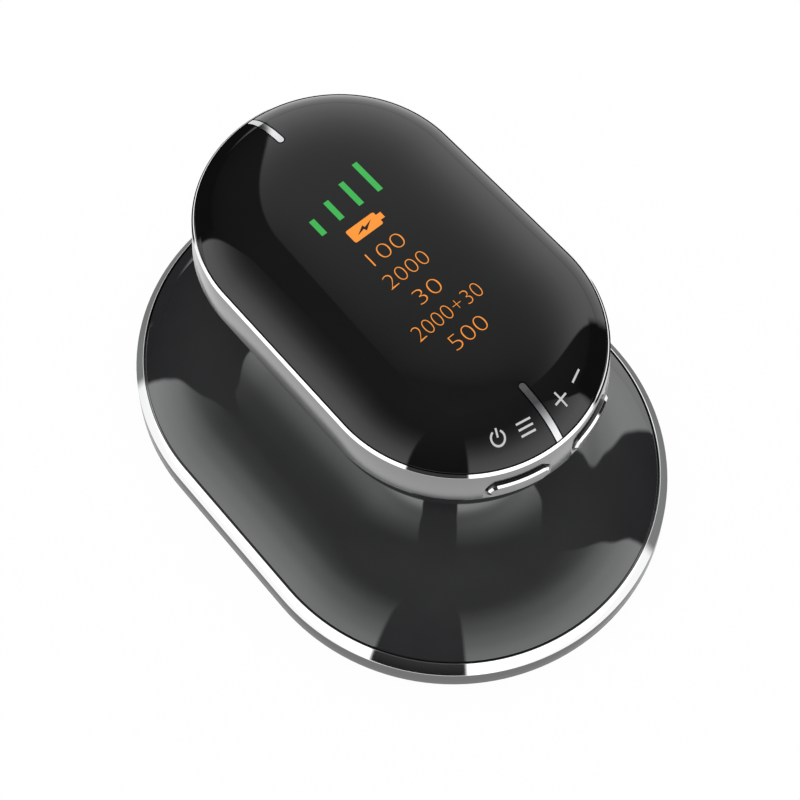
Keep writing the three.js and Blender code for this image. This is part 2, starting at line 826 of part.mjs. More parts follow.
function batteryFoam() {
  const [length, width] = [batteryLength / 2, batteryWidth / 2];
  return plate(roundedRectangle(length, width, cornerRadius), foamBottom,
    foamBottom + foamThickness);
}

function displayBoard() {
  const shape = roundedRectangle(displayBoardLength, displayBoardWidth, cornerRadius);
  return plate(shape, displayBoardBottom, displayBoardTop);
}

// Frame of light wells between the display board and the cover, one well for each symbol.
function lightGuide() {
  const bottom = displayBoardTop + fitGap;
  const top = overallHeight - panelWall - 2 * fitGap;
  const shape = roundedRectangle(lightGuideLength, lightGuideWidth, cornerRadius);
  let result = plate(shape, bottom, top);
  const pitch = (lightGuideLength - lightWellWall) / lightWells;
  const half = lightGuideWidth / 2 - lightWellWall;
  for (let k = 0; k < lightWells; k++) {
    const start = -lightGuideLength / 2 + lightWellWall + k * pitch;
    const well = block([start, start + pitch - lightWellWall], [-half, half],
      [bottom - overrun, top - lightWellWall]);
    result = result.subtract(well);
  }
  return result;
}

const socketBottom = () => keyHeightCentre - socketHeight / 2;
const socketMouth = () => bandRadiusAt(keyHeightCentre) - socketRecess;

// Charging socket: a pill shell open at its mouth, with a tongue in the middle.
function chargingSocket() {
  const mouth = socketMouth();
  const shell = pillPrism(socketLength, socketHeight, mouth - socketDepth, mouth);
  const hollow = pillPrism(socketLength - 2 * socketWall, socketHeight - 2 * socketWall,
    mouth - socketDepth + overrun, mouth + overrun);
  const tongue = block([mouth - socketDepth + socketWall, mouth - socketRecess],
    [-tongueLength / 2, tongueLength / 2],
    [keyHeightCentre - tongueThickness / 2, keyHeightCentre + tongueThickness / 2]);
  return shell.subtract(hollow).add(tongue).rotate([0, 0, 180]).translate([-handleHalf, 0, 0]);
}

// Straight prism of a pill outline, pointing away from the centre of the arc.
function pillPrism(length, height, inner, outer) {
  const shape = roundedRectangle(height, length, height / 2 - fitGap / 2);
  return plate(shape, inner, outer).rotate([0, 90, 0]).translate([0, 0, keyHeightCentre]);
}

function chargingBoard() {
  const half = chargingBoardWidth / 2;
  const stepInner = bandBore + bandFootRound - trayStepWall;
  const outside = handleHalf + Math.sqrt((stepInner - carrierGap) ** 2 - half ** 2);
  const top = socketBottom() - fitGap;
  return block([-outside, -outside + chargingBoardLength], [-half, half],
    [top - boardThickness, top]);
}

// Sector of a ring round one end of the base, with its corners left square.
function sector(inner, outer, spreadDegrees, bottom, top) {
  const spread = THREE.MathUtils.degToRad(spreadDegrees);
  const shape = new THREE.Shape();
  const middle = (inner + outer) / 2;
  const cap = (outer - inner) / 2;
  const ends = [spread, -spread].map((angle) => [middle * Math.cos(angle), middle * Math.sin(angle)]);
  shape.absarc(0, 0, outer, -spread, spread, false);
  shape.absarc(...ends[0], cap, spread, spread + Math.PI, false);
  shape.absarc(0, 0, inner, spread, -spread, true);
  shape.absarc(...ends[1], cap, -spread + Math.PI, -spread + 2 * Math.PI, false);
  return plate(shape, bottom, top, sectorSteps);
}

// Crescent electrode round one end of the base, with its skin side eased and a contact stud.
function emsElectrode(side) {
  const outer = emsInnerRadius + emsWidth;
  const eased = sector(emsInnerRadius + emsEdge, outer - emsEdge, emsSpread, 0, emsEdge);
  const body = sector(emsInnerRadius, outer, emsSpread, emsEdge, emsThickness);
  const stud = drum(studRadius, emsThickness - emsEdge, studTop, [emsStudDistance(), 0]);
  const result = eased.add(body).add(stud).translate([baseHalf, 0, 0]);
  return side > 0 ? result : result.rotate([0, 0, 180]);
}

const emsStudDistance = () => emsInnerRadius + studInset;

function rfPlaces() {
  const places = [];
  for (let k = 0; k < rfCount; k++) places.push([(k - (rfCount - 1) / 2) * rfPitch, 0]);
  return places;
}

// Domed round electrode with a contact stud.
function rfElectrode(place) {
  const dome = rfDomeShares.map(([across, up]) => [rfRadius * across, rfThickness * up]);
  const stud = [[studRadius, rfThickness], [studRadius, studTop], [0, studTop]];
  return turned([...dome, ...stud], place, rfSteps);
}

// Base plate: a floor with a rim that clamps the ring, pockets for the electrodes, an opening
// for the window, cups for the screws that the electrodes hide, and posts for the two boards.
function basePlate() {
  const rimTop = flangeBottom - fitGap;
  let result = stadium([
    [0, ringFoot], [plateRadius, ringFoot], [plateRadius, rimTop],
    [plateRadius - plateRimWall, rimTop], [plateRadius - plateRimWall, plateTop], [0, plateTop],
  ], baseHalf);
  for (const place of boardPostPlaces()) {
    const post = drum(bossRadius, plateTop - fitGap, mainBoardBottom - fitGap, place);
    const pilot = drum(pilotRadius, plateTop, mainBoardBottom, place);
    result = result.add(post).subtract(pilot);
  }
  const headRoom = screwHeadRadius + holeClearance;
  for (const place of baseBossPlaces()) {
    result = result.add(drum(headRoom + seatWall, plateTop - fitGap, baseCupTop, place));
  }
  for (const place of ledPostPlaces()) {
    result = result.add(drum(ledPostRadius, plateTop - fitGap, ledBoardBottom - fitGap, place));
  }
  const hole = windowRadius + plateGap;
  result = result.subtract(stadium([
    [0, 0], [hole, 0], [hole, plateTop + overrun], [0, plateTop + overrun],
  ], baseHalf));
  const outer = emsInnerRadius + emsWidth;
  const grow = plateGap / 2;
  const pocketTop = emsThickness + fitGap;
  const pocket = sector(emsInnerRadius - grow, outer + grow, emsSpread, 0, pocketTop);
  const stud = drum(studRadius + holeClearance, 0, plateTop + overrun, [emsStudDistance(), 0]);
  const cut = pocket.add(stud).translate([baseHalf, 0, 0]);
  result = result.subtract(cut).subtract(cut.rotate([0, 0, 180]));
  for (const place of baseBossPlaces()) {
    result = result.subtract(drum(headRoom, 0, baseScrewSeat + fitGap, place));
    result = result.subtract(drum(passRadius, 0, baseCupTop + overrun, place));
  }
  return result;
}

const ledPostPlaces = () => fourCorners(baseHalf, ledPostOffset);

// Light window: a frosted lens whose flange lies on the plate, with seats for the electrodes.
function ledWindow() {
  const flange = windowRadius + windowFlange;
  const flangeLow = plateTop + fitGap;
  const flangeHigh = flangeLow + windowFlangeThickness;
  let result = stadium([
    [0, ringFoot], [windowRadius, ringFoot], [windowRadius, flangeLow], [flange, flangeLow],
    [flange, flangeHigh], [0, flangeHigh],
  ], baseHalf);
  for (const place of rfPlaces()) {
    result = result.subtract(drum(rfRadius + holeClearance, 0, rfThickness + fitGap, place,
      rfSteps));
    result = result.subtract(drum(studRadius + holeClearance, 0, flangeHigh + overrun, place));
  }
  return result;
}

function ledPlaces() {
  const places = [];
  for (const row of [-1, 1]) {
    for (let k = 0; k < ledsPerRow; k++) {
      places.push([(k - (ledsPerRow - 1) / 2) * ledPitch, row * ledRowOffset]);
    }
  }
  return places;
}

// Light board above the window, with its lamps soldered to its underside.
function ledBoard() {
  const top = ledBoardBottom + boardThickness;
  let result = stadium([
    [0, ledBoardBottom], [ledBoardRadius, ledBoardBottom], [ledBoardRadius, top], [0, top],
  ], baseHalf);
  const half = ledSize / 2;
  for (const [x, y] of ledPlaces()) {
    const lamp = block([x - half, x + half], [y - half, y + half],
      [ledBoardBottom - ledThickness, ledBoardBottom + fitGap]);
    result = result.add(lamp);
  }
  for (const place of rfPlaces()) {
    result = result.subtract(drum(studRadius + holeClearance, 0, top + overrun, place));
  }
  return result;
}

// Main board on its posts, with the spring contacts that press on the electrodes' studs.
function mainBoard() {
  let result = stadium([
    [0, mainBoardBottom], [mainBoardRadius, mainBoardBottom], [mainBoardRadius, mainBoardTop],
    [0, mainBoardTop],
  ], baseHalf);
  const reach = baseHalf + emsStudDistance();
  for (const place of [...rfPlaces(), [reach, 0], [-reach, 0]]) {
    result = result.add(drum(contactRadius, studTop + fitGap, mainBoardBottom + fitGap, place));
  }
  for (const place of boardPostPlaces()) {
    result = result.subtract(drum(passRadius, mainBoardBottom - overrun, mainBoardTop + overrun,
      place));
  }
  return result;
}

// Wound transformer: a ferrite frame with a lower winding block standing out on both sides.
function transformer() {
  const [length, width, height] = transformerSize;
  const [x, y] = transformerPlace;
  const low = mainBoardTop + fitGap;
  const core = block([x - length / 2, x + length / 2], [y - width / 3, y + width / 3],
    [low, low + height]);
  const winding = block([x - length / 3, x + length / 3], [y - width / 2, y + width / 2],
    [low, low + height * windingShare]);
  return core.add(winding);
}

function inductor() {
  const low = mainBoardTop + fitGap;
  const [foot, waist] = [inductorHeight / 5, inductorRadius * windingShare];
  return turned([
    [0, low], [inductorRadius, low], [inductorRadius, low + foot], [waist, low + foot],
    [waist, low + inductorHeight - foot], [inductorRadius, low + inductorHeight - foot],
    [inductorRadius, low + inductorHeight], [0, low + inductorHeight],
  ], inductorPlace);
}

function capacitor() {
  const low = mainBoardTop + fitGap;
  const [foot, depth] = [capacitorHeight / 6, capacitorGroove];
  return turned([
    [0, low], [capacitorRadius, low], [capacitorRadius, low + foot],
    [capacitorRadius - depth, low + foot + depth], [capacitorRadius, low + foot + depth * 2],
    [capacitorRadius, low + capacitorHeight], [0, low + capacitorHeight],
  ], capacitorPlace);
}

function beeper() {
  const low = mainBoardTop + fitGap;
  const body = drum(beeperRadius, low, low + beeperHeight, beeperPlace);
  const port = drum(beeperRadius / 4, low + beeperHeight / 2, low + beeperHeight + overrun,
    beeperPlace);
  return body.subtract(port);
}

// Flat cable from the main board up through the waist and past the cell to the display board.
function ribbonCable() {
  const side = -(batteryWidth / 2 + carrierGap + carrierWall + ribbonThickness * 2);
  const start = ribbonFoot - neckOpening;
  const low = mainBoardTop + fitGap;
  const high = displayBoardBottom - fitGap;
  const under = carrierFloorHeight - ribbonDrop;
  const route = [[start, low], [start, under - ribbonDrop * 2], [side, under], [side, high]];
  const outline = [
    ...offsetCurve(route, ribbonThickness / 2),
    ...offsetCurve(route, -ribbonThickness / 2).reverse(),
  ];
  outline[0][1] = low;
  outline[outline.length - 1][1] = low;
  const shape = new THREE.Shape(outline.map(([y, z]) => new THREE.Vector2(y, z)));
  const geometry = new THREE.ExtrudeGeometry(shape, { depth: ribbonWidth, bevelEnabled: false });
  geometry.rotateX(Math.PI / 2);
  geometry.rotateZ(Math.PI / 2);
  geometry.translate(ribbonPlace - ribbonWidth / 2, 0, 0);
  return solid(geometry);
}

// Screw with a pan head and a drive recess. Its seat is under the head, and a turn of 1 points
// the shank up, -1 down.
function screw(place, seat, turn) {
  const crown = -screwHeadHeight;
  const profile = [
    [0, crown + screwDriveDepth], [screwDriveRadius, crown + screwDriveDepth],
    [screwDriveRadius, crown], [screwHeadRadius, crown + screwDriveDepth / 2],
    [screwHeadRadius, 0], [screwRadius, 0],
    [screwRadius, screwLength - screwRadius], [0, screwLength],
  ];
  const body = turned(profile, [0, 0], screwSteps);
  const placed = turn > 0 ? body : body.rotate([180, 0, 0]);
  return placed.translate([...place, seat]);
}

function screws(group) {
  const sets = [
    ['base_screw', baseBossPlaces(), baseScrewSeat, 1],
    ['neck_screw', neckBossPlaces(), waistHeight - neckFlange - fitGap, 1],
    ['board_screw', boardPostPlaces(), mainBoardTop + fitGap, -1],
  ];
  for (const [name, places, seat, turn] of sets) {
    places.forEach((place, k) => {
      group.add(piece(`${name}_${k + 1}`, screw(place, seat, turn), 'steel'));
    });
  }
}

function buildBase(group) {
  group.add(piece('base_ring', baseRing(), 'chrome'));
  group.add(piece('dish_shell', dishShell(), 'graphite'));
  group.add(piece('base_plate', basePlate(), 'blackPlastic'));
  group.add(piece('led_window', ledWindow(), 'frosted'));
  group.add(piece('led_board', ledBoard(), 'boardGreen'));
  group.add(piece('front_ems_electrode', emsElectrode(1), 'stainless'));
  group.add(piece('rear_ems_electrode', emsElectrode(-1), 'stainless'));
  rfPlaces().forEach((place, k) => {
    group.add(piece(`rf_electrode_${k + 1}`, rfElectrode(place), 'stainless'));
  });
  group.add(piece('main_board', mainBoard(), 'boardGreen'));
  group.add(piece('transformer', transformer(), 'ferrite'));
  group.add(piece('inductor', inductor(), 'ferrite'));
  group.add(piece('capacitor', capacitor(), 'satinSilver'));
  group.add(piece('beeper', beeper(), 'blackPlastic'));
  group.add(piece('ribbon_cable', ribbonCable(), 'ribbonAmber'));
}

function buildHandle(group) {
  group.add(piece('handle_tray', handleTray(), 'graphite'));
  group.add(piece('handle_band', handleBand(), 'chrome'));
  group.add(piece('top_panel', topPanel(), 'pianoBlack'));
  group.add(piece('front_inlay', inlay(1), 'satinSilver'));
  group.add(piece('rear_inlay', inlay(-1), 'satinSilver'));
  group.add(piece('panel_gasket', panelGasket(), 'silicone'));
  group.add(piece('light_guide', lightGuide(), 'frosted'));
  group.add(piece('display_board', displayBoard(), 'boardGreen'));
  group.add(piece('battery_carrier', batteryCarrier(), 'blackPlastic'));
  group.add(piece('battery_cell', batteryCell(), 'cellSilver'));
  group.add(piece('battery_foam', batteryFoam(), 'foam'));
  group.add(piece('charging_socket', chargingSocket(), 'steel'));
  group.add(piece('charging_board', chargingBoard(), 'boardGreen'));
  group.add(keyAssembly('mode', -1));
  group.add(keyAssembly('level', 1));
}

const device = new THREE.Group();
buildBase(device);
buildHandle(device);
screws(device);

export default device;
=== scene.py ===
"""Looks of the handheld microcurrent body device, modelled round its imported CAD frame.

Metres, +Z up, +X towards the keys. Every outline of the device is a stadium: two half circles
joined by straight runs, so most pieces are a profile swept round a stadium.
"""

import json
import math

import bmesh
import bpy
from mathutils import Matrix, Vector

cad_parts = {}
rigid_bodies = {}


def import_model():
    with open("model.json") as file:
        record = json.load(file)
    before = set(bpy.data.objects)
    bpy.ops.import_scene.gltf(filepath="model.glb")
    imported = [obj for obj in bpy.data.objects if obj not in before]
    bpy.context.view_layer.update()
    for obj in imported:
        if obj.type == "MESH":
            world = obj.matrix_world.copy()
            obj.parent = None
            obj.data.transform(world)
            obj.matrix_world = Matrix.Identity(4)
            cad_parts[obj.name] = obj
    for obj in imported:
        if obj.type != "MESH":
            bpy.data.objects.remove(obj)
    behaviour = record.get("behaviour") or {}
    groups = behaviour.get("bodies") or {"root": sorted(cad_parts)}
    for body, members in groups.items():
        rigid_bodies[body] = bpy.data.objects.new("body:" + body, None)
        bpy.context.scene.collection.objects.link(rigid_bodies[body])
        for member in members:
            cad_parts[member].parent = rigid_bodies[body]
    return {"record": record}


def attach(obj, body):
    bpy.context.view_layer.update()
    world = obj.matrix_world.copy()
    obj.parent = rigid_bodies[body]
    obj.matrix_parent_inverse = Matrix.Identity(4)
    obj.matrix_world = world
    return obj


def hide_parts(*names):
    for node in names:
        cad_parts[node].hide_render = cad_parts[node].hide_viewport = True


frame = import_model()

bl_info = {
    "name": "Microcurrent Device",
    "version": (1, 0, 0),
    "blender": (4, 5, 0),
    "location": "3D View > Sidebar > Device",
    "description": "Models the looks of a handheld microcurrent body device round its CAD frame",
    "category": "Object",
}

MM = 0.001
MERGE = 1e-6
OVERRUN = MM  # how far a cutter reaches past what it cuts
STRIP_OVERRUN = 4 * MM
SMOOTH_ANGLE = math.radians(32)
BAND_SMOOTH_ANGLE = math.radians(20)

# Counts of faces along the round stretches.
HALF_TURN_STEPS = 72
PILL_STEPS = 24
DOME_STEPS = 30
BEND_CUTS = 14

# Shares of half a straight run that its rows of faces take, from its middle to its end.
STRAIGHT_SHARES = (0.55, 0.35, 0.1)
# How much closer together the points of the cover's line stand near its edge.
CROWDING = 1.7
# Bevel that rounds the ends of a bar, as a share of its height: a hair under half.
END_ROUND = 0.4995

# Shares of the run and rise of each curve, from its lower end to its upper end.
DISH_SHARES = (
    (0, 0), (0.0786, 0.0682), (0.1756, 0.1408), (0.2887, 0.2087), (0.418, 0.2603),
    (0.5635, 0.3032), (0.709, 0.3599), (0.8383, 0.4397), (0.9353, 0.5227), (0.99, 0.657), (1, 1),
)
TRAY_SHARES = ((0, 0), (0.14, 0.2), (0.46, 0.38), (0.78, 0.56), (0.94, 0.78), (1, 1))
RF_SHARES = ((0, 0), (0.3, 0.01), (0.55, 0.05), (0.75, 0.13), (0.9, 0.28), (0.97, 0.45), (1, 0.65))

# Lit figures, the place of each along the device and its length, in millimetres.
FIGURES = (("100", -2.7, 8.0), ("2000", 3.2, 9.8), ("30", 9.2, 5.7), ("2000+30", 14.9, 15.9),
           ("500", 20.6, 8.2))
FIGURE_OFFSET = -0.4 * MM
# Font size for a figure of height 1, before it is fitted to its height and length.
FONT_SIZE = 1.4
# Place across the device of each lit bar, and its ends along it, in millimetres.
LEVEL_BARS = (
    (7.2, -21.25, -13.3), (2.4, -19.5, -13.2), (-2.5, -18.1, -13.1), (-7.2, -16.6, -12.6),
)
# Outline of the bolt in the battery sign, in millimetres from its middle.
BOLT = ((-2.1, -0.6), (0.0, 0.66), (0.14, 0.05), (2.1, 0.62), (-0.05, -0.82), (-0.28, -0.16))
# Length of the power sign's stem and the place of its middle, as shares of the ring's radius.
STEM_LENGTH = 1.1
STEM_PLACE = 0.6

# Windows of the bearing that an outline faces, as first, last and softness in degrees: the part
# of the ring's bevel that is left bright, with painted shade on the rest, and the parts of three
# edges that face away from the studio's light, where painted shade takes the place of reflection.
RING_LIT = (-120.0, 24.0, 4.0)
LIP_PAINTED_SHADE = ((20.0, 75.0, 4.0), (170.0, 243.0, 4.0))
COVER_PAINTED_SHADE = ((20.0, 54.0, 6.0), (180.0, 244.0, 4.0))
DISH_PAINTED_SHADE = ((150.0, 224.0, 6.0),)
# Distances from the centreline between which the cover and the dish turn steep, and over which
# their painted shade fades in.
COVER_STEEP = (23.6 * MM, 24.6 * MM)
DISH_STEEP = (41.5 * MM, 43 * MM)
# Depths in from the band's outside, and down from its top, over which painted shade turns a slot
# black.
SLOT_DEPTH = (0.2 * MM, 0.28 * MM)
SLOT_TOP = (1.3 * MM, 1.2 * MM)
GLOSS_TINT = (0.975, 1.0, 0.985, 1.0)  # colour of the reflections in polished plastic
GRAIN_DEPTH = 0.02 * MM
BRUSH_DEPTH = 0.01 * MM

# Radiance of the studio's panels at each elevation in degrees, and between the panels at the
# horizon and overhead.
WIDE_PANEL = ((-2, 0.0), (0, 1.12), (12, 1.33), (20, 1.38), (30, 1.35), (36, 1.22), (43, 1.05),
              (49, 0.83), (54, 0.62), (58, 0.45), (62, 0.27), (66, 0.14), (70, 0.02))
LOW_PANEL = ((-2, 0.0), (0, 1.45), (12, 1.5), (20, 1.3), (28, 1.06), (36, 0.68), (43, 0.44),
             (49, 0.25), (54, 0.14), (62, 0.02), (66, 0.0))
FILL = (0.012, 0.15)
# Bearings between which the panels stand, in degrees. The far side of the near panel slants: the
# second pair is its bearings at the two elevations of the first.
WIDE_SPAN = (80.0, 161.0)
LOW_SPAN = (-145.5, -69.0)
NEAR_SIDE = -34.0
NEAR_SLANT = (20.0, 32.0, 45.5, 42.0)
PANEL_SOFTNESS = 2.0
FLOOR_SIZE = 6.0
FLOOR_GLOW = 0.96  # share of the floor's white that takes no shadow

# Camera fitted to the photographed outlines, its turn in degrees, its lens in millimetres.
CAMERA_PLACE = (0.112879, -0.095478, 0.327817)
CAMERA_TURN = (24.945, 0.0, 49.552)
LENS = 70.215
SENSOR = 36.0


def distance(name, value, description):
    """Length property in metres, from millimetres."""
    return bpy.props.FloatProperty(
        name=name, description=description, default=value * MM, unit="LENGTH",
        subtype="DISTANCE", precision=5,
    )


def turn(name, value, description):
    """Angle property, from degrees."""
    return bpy.props.FloatProperty(
        name=name, description=description, default=math.radians(value), subtype="ANGLE",
    )


def colour(name, value, description):
    """Linear colour property."""
    return bpy.props.FloatVectorProperty(
        name=name, description=description, default=value, size=3, subtype="COLOR",
        min=0.0, max=1.0,
    )


class DeviceBaseSizes(bpy.types.PropertyGroup):
    """Sizes of the ring, the dish and the treatment face."""

    half: distance("Half straight", 18.43, "Half the straight run of the base's outline")
    radius: distance("Radius", 48.57, "Outer radius of the base's round ends")
    foot: distance("Foot height", 0.6, "Height of the base's underside above the electrodes")
    foot_round: distance("Foot round", 0.3, "Rounding of the ring's lower edge")
    draft: distance("Draft", 0.4, "How far the ring's wall leans in up to its bevel")
    bevel_width: distance("Bevel width", 1.94, "Width of the ring's bevel seen from above")
    bevel_drop: distance("Bevel drop", 2.26, "Height of the ring's bevel")
    ring_top: distance("Ring top", 8.36, "Height of the ring's upper edge")
    ring_wall: distance("Ring wall", 1.7, "Thickness of the ring's wall")
    ring_lip: distance("Ring lip", 1.3, "Reach of the ring's lower lip")
    lip_thickness: distance("Lip thickness", 1.0, "Thickness of the ring's lip and flange")
    flange_reach: distance("Flange reach", 2.25, "Reach of the ring's inner flange")
    gap: distance("Plate gap", 0.3, "Gap between the ring and the pieces inside it")
    rim_gap: distance("Rim gap", 0.45, "Gap between the ring's bevel and the dish's rim")
    edge_round: distance("Edge round", 0.08, "Softening of the ring's crisp edges")
    rim_drop: distance("Rim drop", 0.06, "How far the dish's rim lies below the ring's edge")
    rim_depth: distance("Rim depth", 1.75, "Depth of the dish's rim inside the ring")
    rim_round: distance("Rim round", 0.25, "Rounding of the dish's rim")
    rim_ledge: distance("Rim ledge", 0.4, "Height of the rim's straight inner wall")
    waist_radius: distance("Waist radius", 15.0, "Radius of the waist's round ends")
    waist_height: distance("Waist height", 36.0, "Height where the dish meets the handle")
    dish_wall: distance("Dish wall", 2.2, "Thickness of the dish's wall")
    neck_opening: distance("Neck opening", 8.0, "Radius of the opening through the waist")
    neck_flange: distance("Neck flange", 2.0, "Thickness of the flange across the waist")
    plate_thickness: distance("Plate thickness", 2.0, "Thickness of the base plate")
    ems_inner: distance("EMS inner radius", 27.5, "Inner radius of a microcurrent electrode")
    ems_width: distance("EMS width", 12.0, "Width of a microcurrent electrode")
    ems_spread: turn("EMS spread", 124, "Angle that a microcurrent electrode spans")
    ems_thickness: distance("EMS thickness", 1.3, "Thickness of a microcurrent electrode")
    ems_edge: distance("EMS edge", 0.4, "Rounding of a microcurrent electrode's edge")
    rf_radius: distance("RF radius", 6.0, "Radius of a warming electrode")
    rf_pitch: distance("RF pitch", 17.2, "Distance between two warming electrodes")
    rf_thickness: distance("RF thickness", 1.6, "Thickness of a warming electrode")
    hole_gap: distance("Hole gap", 0.2, "Gap round an electrode or the window")
    window_radius: distance("Window radius", 17.0, "Radius of the window's round ends")


class DeviceHandleSizes(bpy.types.PropertyGroup):
    """Sizes of the tray, the band, the cover, the strips, the keys and the socket."""

    half: distance("Half straight", 17.92, "Half the straight run of the handle's outline")
    radius: distance("Radius", 29.36, "Outer radius of the handle's round ends")
    tray_wall: distance("Tray wall", 2.4, "Thickness of the tray's wall")
    tray_inset: distance("Tray inset", 0.4, "How far the tray's rim stands inside the band")
    tray_ledge: distance("Tray ledge", 0.9, "Reach of the tray's rim inside the band's step")
    tray_shelf: distance("Tray shelf", 2.2, "Depth of the tray's thick rim")
    fit: distance("Fit", 0.1, "Gap between two pieces that meet")
    band_foot: distance("Band foot", 58.31, "Height of the band's lower edge")
    band_height: distance("Band height", 8.74, "Height of the band's wall")
    band_draft: distance("Band draft", 0.87, "How far the band's wall leans in over its height")
    band_round: distance("Band round", 0.3, "Rounding of the band's lower edge")
    band_bore: distance("Band bore", 27.25, "Radius of the band's bore")
    band_step: distance("Band step", 0.7, "Height of the step over the tray's rim")
    lip_width: distance("Lip width", 0.5, "Width of the band's lip seen from above")
    lip_rise: distance("Lip rise", 0.37, "Height of the band's lip above its wall")
    lip_drop: distance("Lip drop", 0.2, "How far the lip's bevel reaches down the wall")
    lip_round: distance("Lip round", 0.05, "Softening of the lip's outer edge")
    ledge_depth: distance("Ledge depth", 1.15, "Depth of the cover's seat below the wall's top")
    ledge_thickness: distance("Ledge thickness", 0.9, "Thickness of the cover's seat")
    ledge_reach: distance("Ledge reach", 0.6, "Reach of the cover's seat inside the bore")
    height: distance("Overall height", 73.6, "Height of the cover's middle")
    dome_drop: distance("Dome drop", 6.28, "How far the cover falls to its edge")
    dome_radius: distance("Dome radius", 27.91, "Distance of the dome's foot from the centreline")
    dome_power: bpy.props.FloatProperty(
        name="Dome power", description="How late the cover falls off", default=5.35,
    )
    cover_gap: distance("Cover gap", 0.23, "Gap between the cover and the band's lip")
    cover_wall: distance("Cover wall", 2.0, "Thickness of the cover")
    cover_round: distance("Cover round", 0.12, "Rounding of the cover's edge")
    gasket: distance("Gasket", 0.5, "Height of the cover's edge above its seat")
    strip_width: distance("Strip width", 1.3, "Width of a silver strip")
    strip_length: distance("Strip length", 11.3, "Length of a silver strip from the edge")
    strip_thickness: distance("Strip thickness", 0.6, "Thickness of a silver strip")
    strip_gap: distance("Strip gap", 0.28, "Gap round a silver strip")
    key_angle: turn("Key angle", 18.4, "Angle of a key from the middle of the near end")
    key_height: distance("Key centre", 61.6, "Height of a key's middle")
    key_length: distance("Key length", 12.3, "Length of a key along the band")
    key_rise: distance("Key rise", 4.0, "Height of a key's bar")
    key_proud: distance("Key proud", 0.85, "How far a key stands out of the band")
    key_chamfer: distance("Key chamfer", 0.5, "Bevel round a key's face")
    key_gap: distance("Key gap", 0.25, "Gap between a key and its slot")
    slot_chamfer: distance("Slot chamfer", 0.25, "Bevel round a slot's mouth")
    flange_length: distance("Flange length", 14.0, "Length of a key's inner flange")
    flange_rise: distance("Flange rise", 4.9, "Height of a key's inner flange")
    flange_thickness: distance("Flange thickness", 3.0, "Thickness of a key's inner flange")
    flange_gap: distance("Flange gap", 0.55, "Gap between a key's flange and the band's bore")
    pin_hole: distance("Pin hole", 0.72, "Radius of the hole for a key's pin")
    pin_setback: distance("Pin setback", 1.6, "Distance from the flange's front to the pin")
    socket_length: distance("Socket length", 8.94, "Length of the charging socket")
    socket_rise: distance("Socket rise", 3.26, "Height of the charging socket")
    socket_depth: distance("Socket depth", 7.3, "Depth of the charging socket's shell")
    socket_wall: distance("Socket wall", 0.3, "Thickness of the charging socket's shell")
    socket_back: distance("Socket back", 1.0, "Thickness of the charging socket's back")
    socket_recess: distance("Socket recess", 0.8, "How far the socket stands behind the band")
    tongue_length: distance("Tongue length", 6.7, "Length of the socket's tongue")
    tongue_rise: distance("Tongue rise", 0.7, "Thickness of the socket's tongue")


class DeviceMarkSizes(bpy.types.PropertyGroup):
    """Sizes of the lit figures, the lit bars and the signs on the cover."""

    proud: distance("Proud", 0.02, "How far the marks stand above the cover")
    figure_height: distance("Figure height", 3.2, "Height of the lit figures")
    figure_thinning: distance("Figure thinning", 0.125, "How much the figures' strokes are thinned")
    bar_width: distance("Bar width", 1.2, "Width of a lit bar")
    battery_x: distance("Battery place", -8.9, "Place of the battery sign along the device")
    battery_y: distance("Battery offset", -0.52, "Place of the battery sign across the device")
    battery_length: distance("Battery length", 6.85, "Length of the battery sign's body")
    battery_width: distance("Battery width", 3.2, "Width of the battery sign's body")
    battery_round: distance("Battery round", 0.4, "Rounding of the battery sign's corners")
    tip_length: distance("Tip length", 1.08, "Length of the battery sign's tip")
    tip_width: distance("Tip width", 1.42, "Width of the battery sign's tip")
    sign_reach: distance("Sign reach", 23.3, "Distance of the key signs from the arc centre")
    inner_turn: turn("Inner turn", 10.6, "Angle of the two signs beside the strip")
    outer_turn: turn("Outer turn", 24.2, "Angle of the two outer signs")
    sign_stroke: distance("Sign stroke", 0.36, "Width of a key sign's strokes")
    power_radius: distance("Power radius", 1.45, "Outer radius of the power sign's ring")
    power_gap: turn("Power gap", 64, "Gap in the power sign's ring")
    plus_size: distance("Plus size", 3.1, "Length of the plus sign's arms")
    minus_size: distance("Minus size", 3.0, "Length of the minus sign and the mode sign's bars")
    mode_pitch: distance("Mode pitch", 1.05, "Distance between the mode sign's bars")


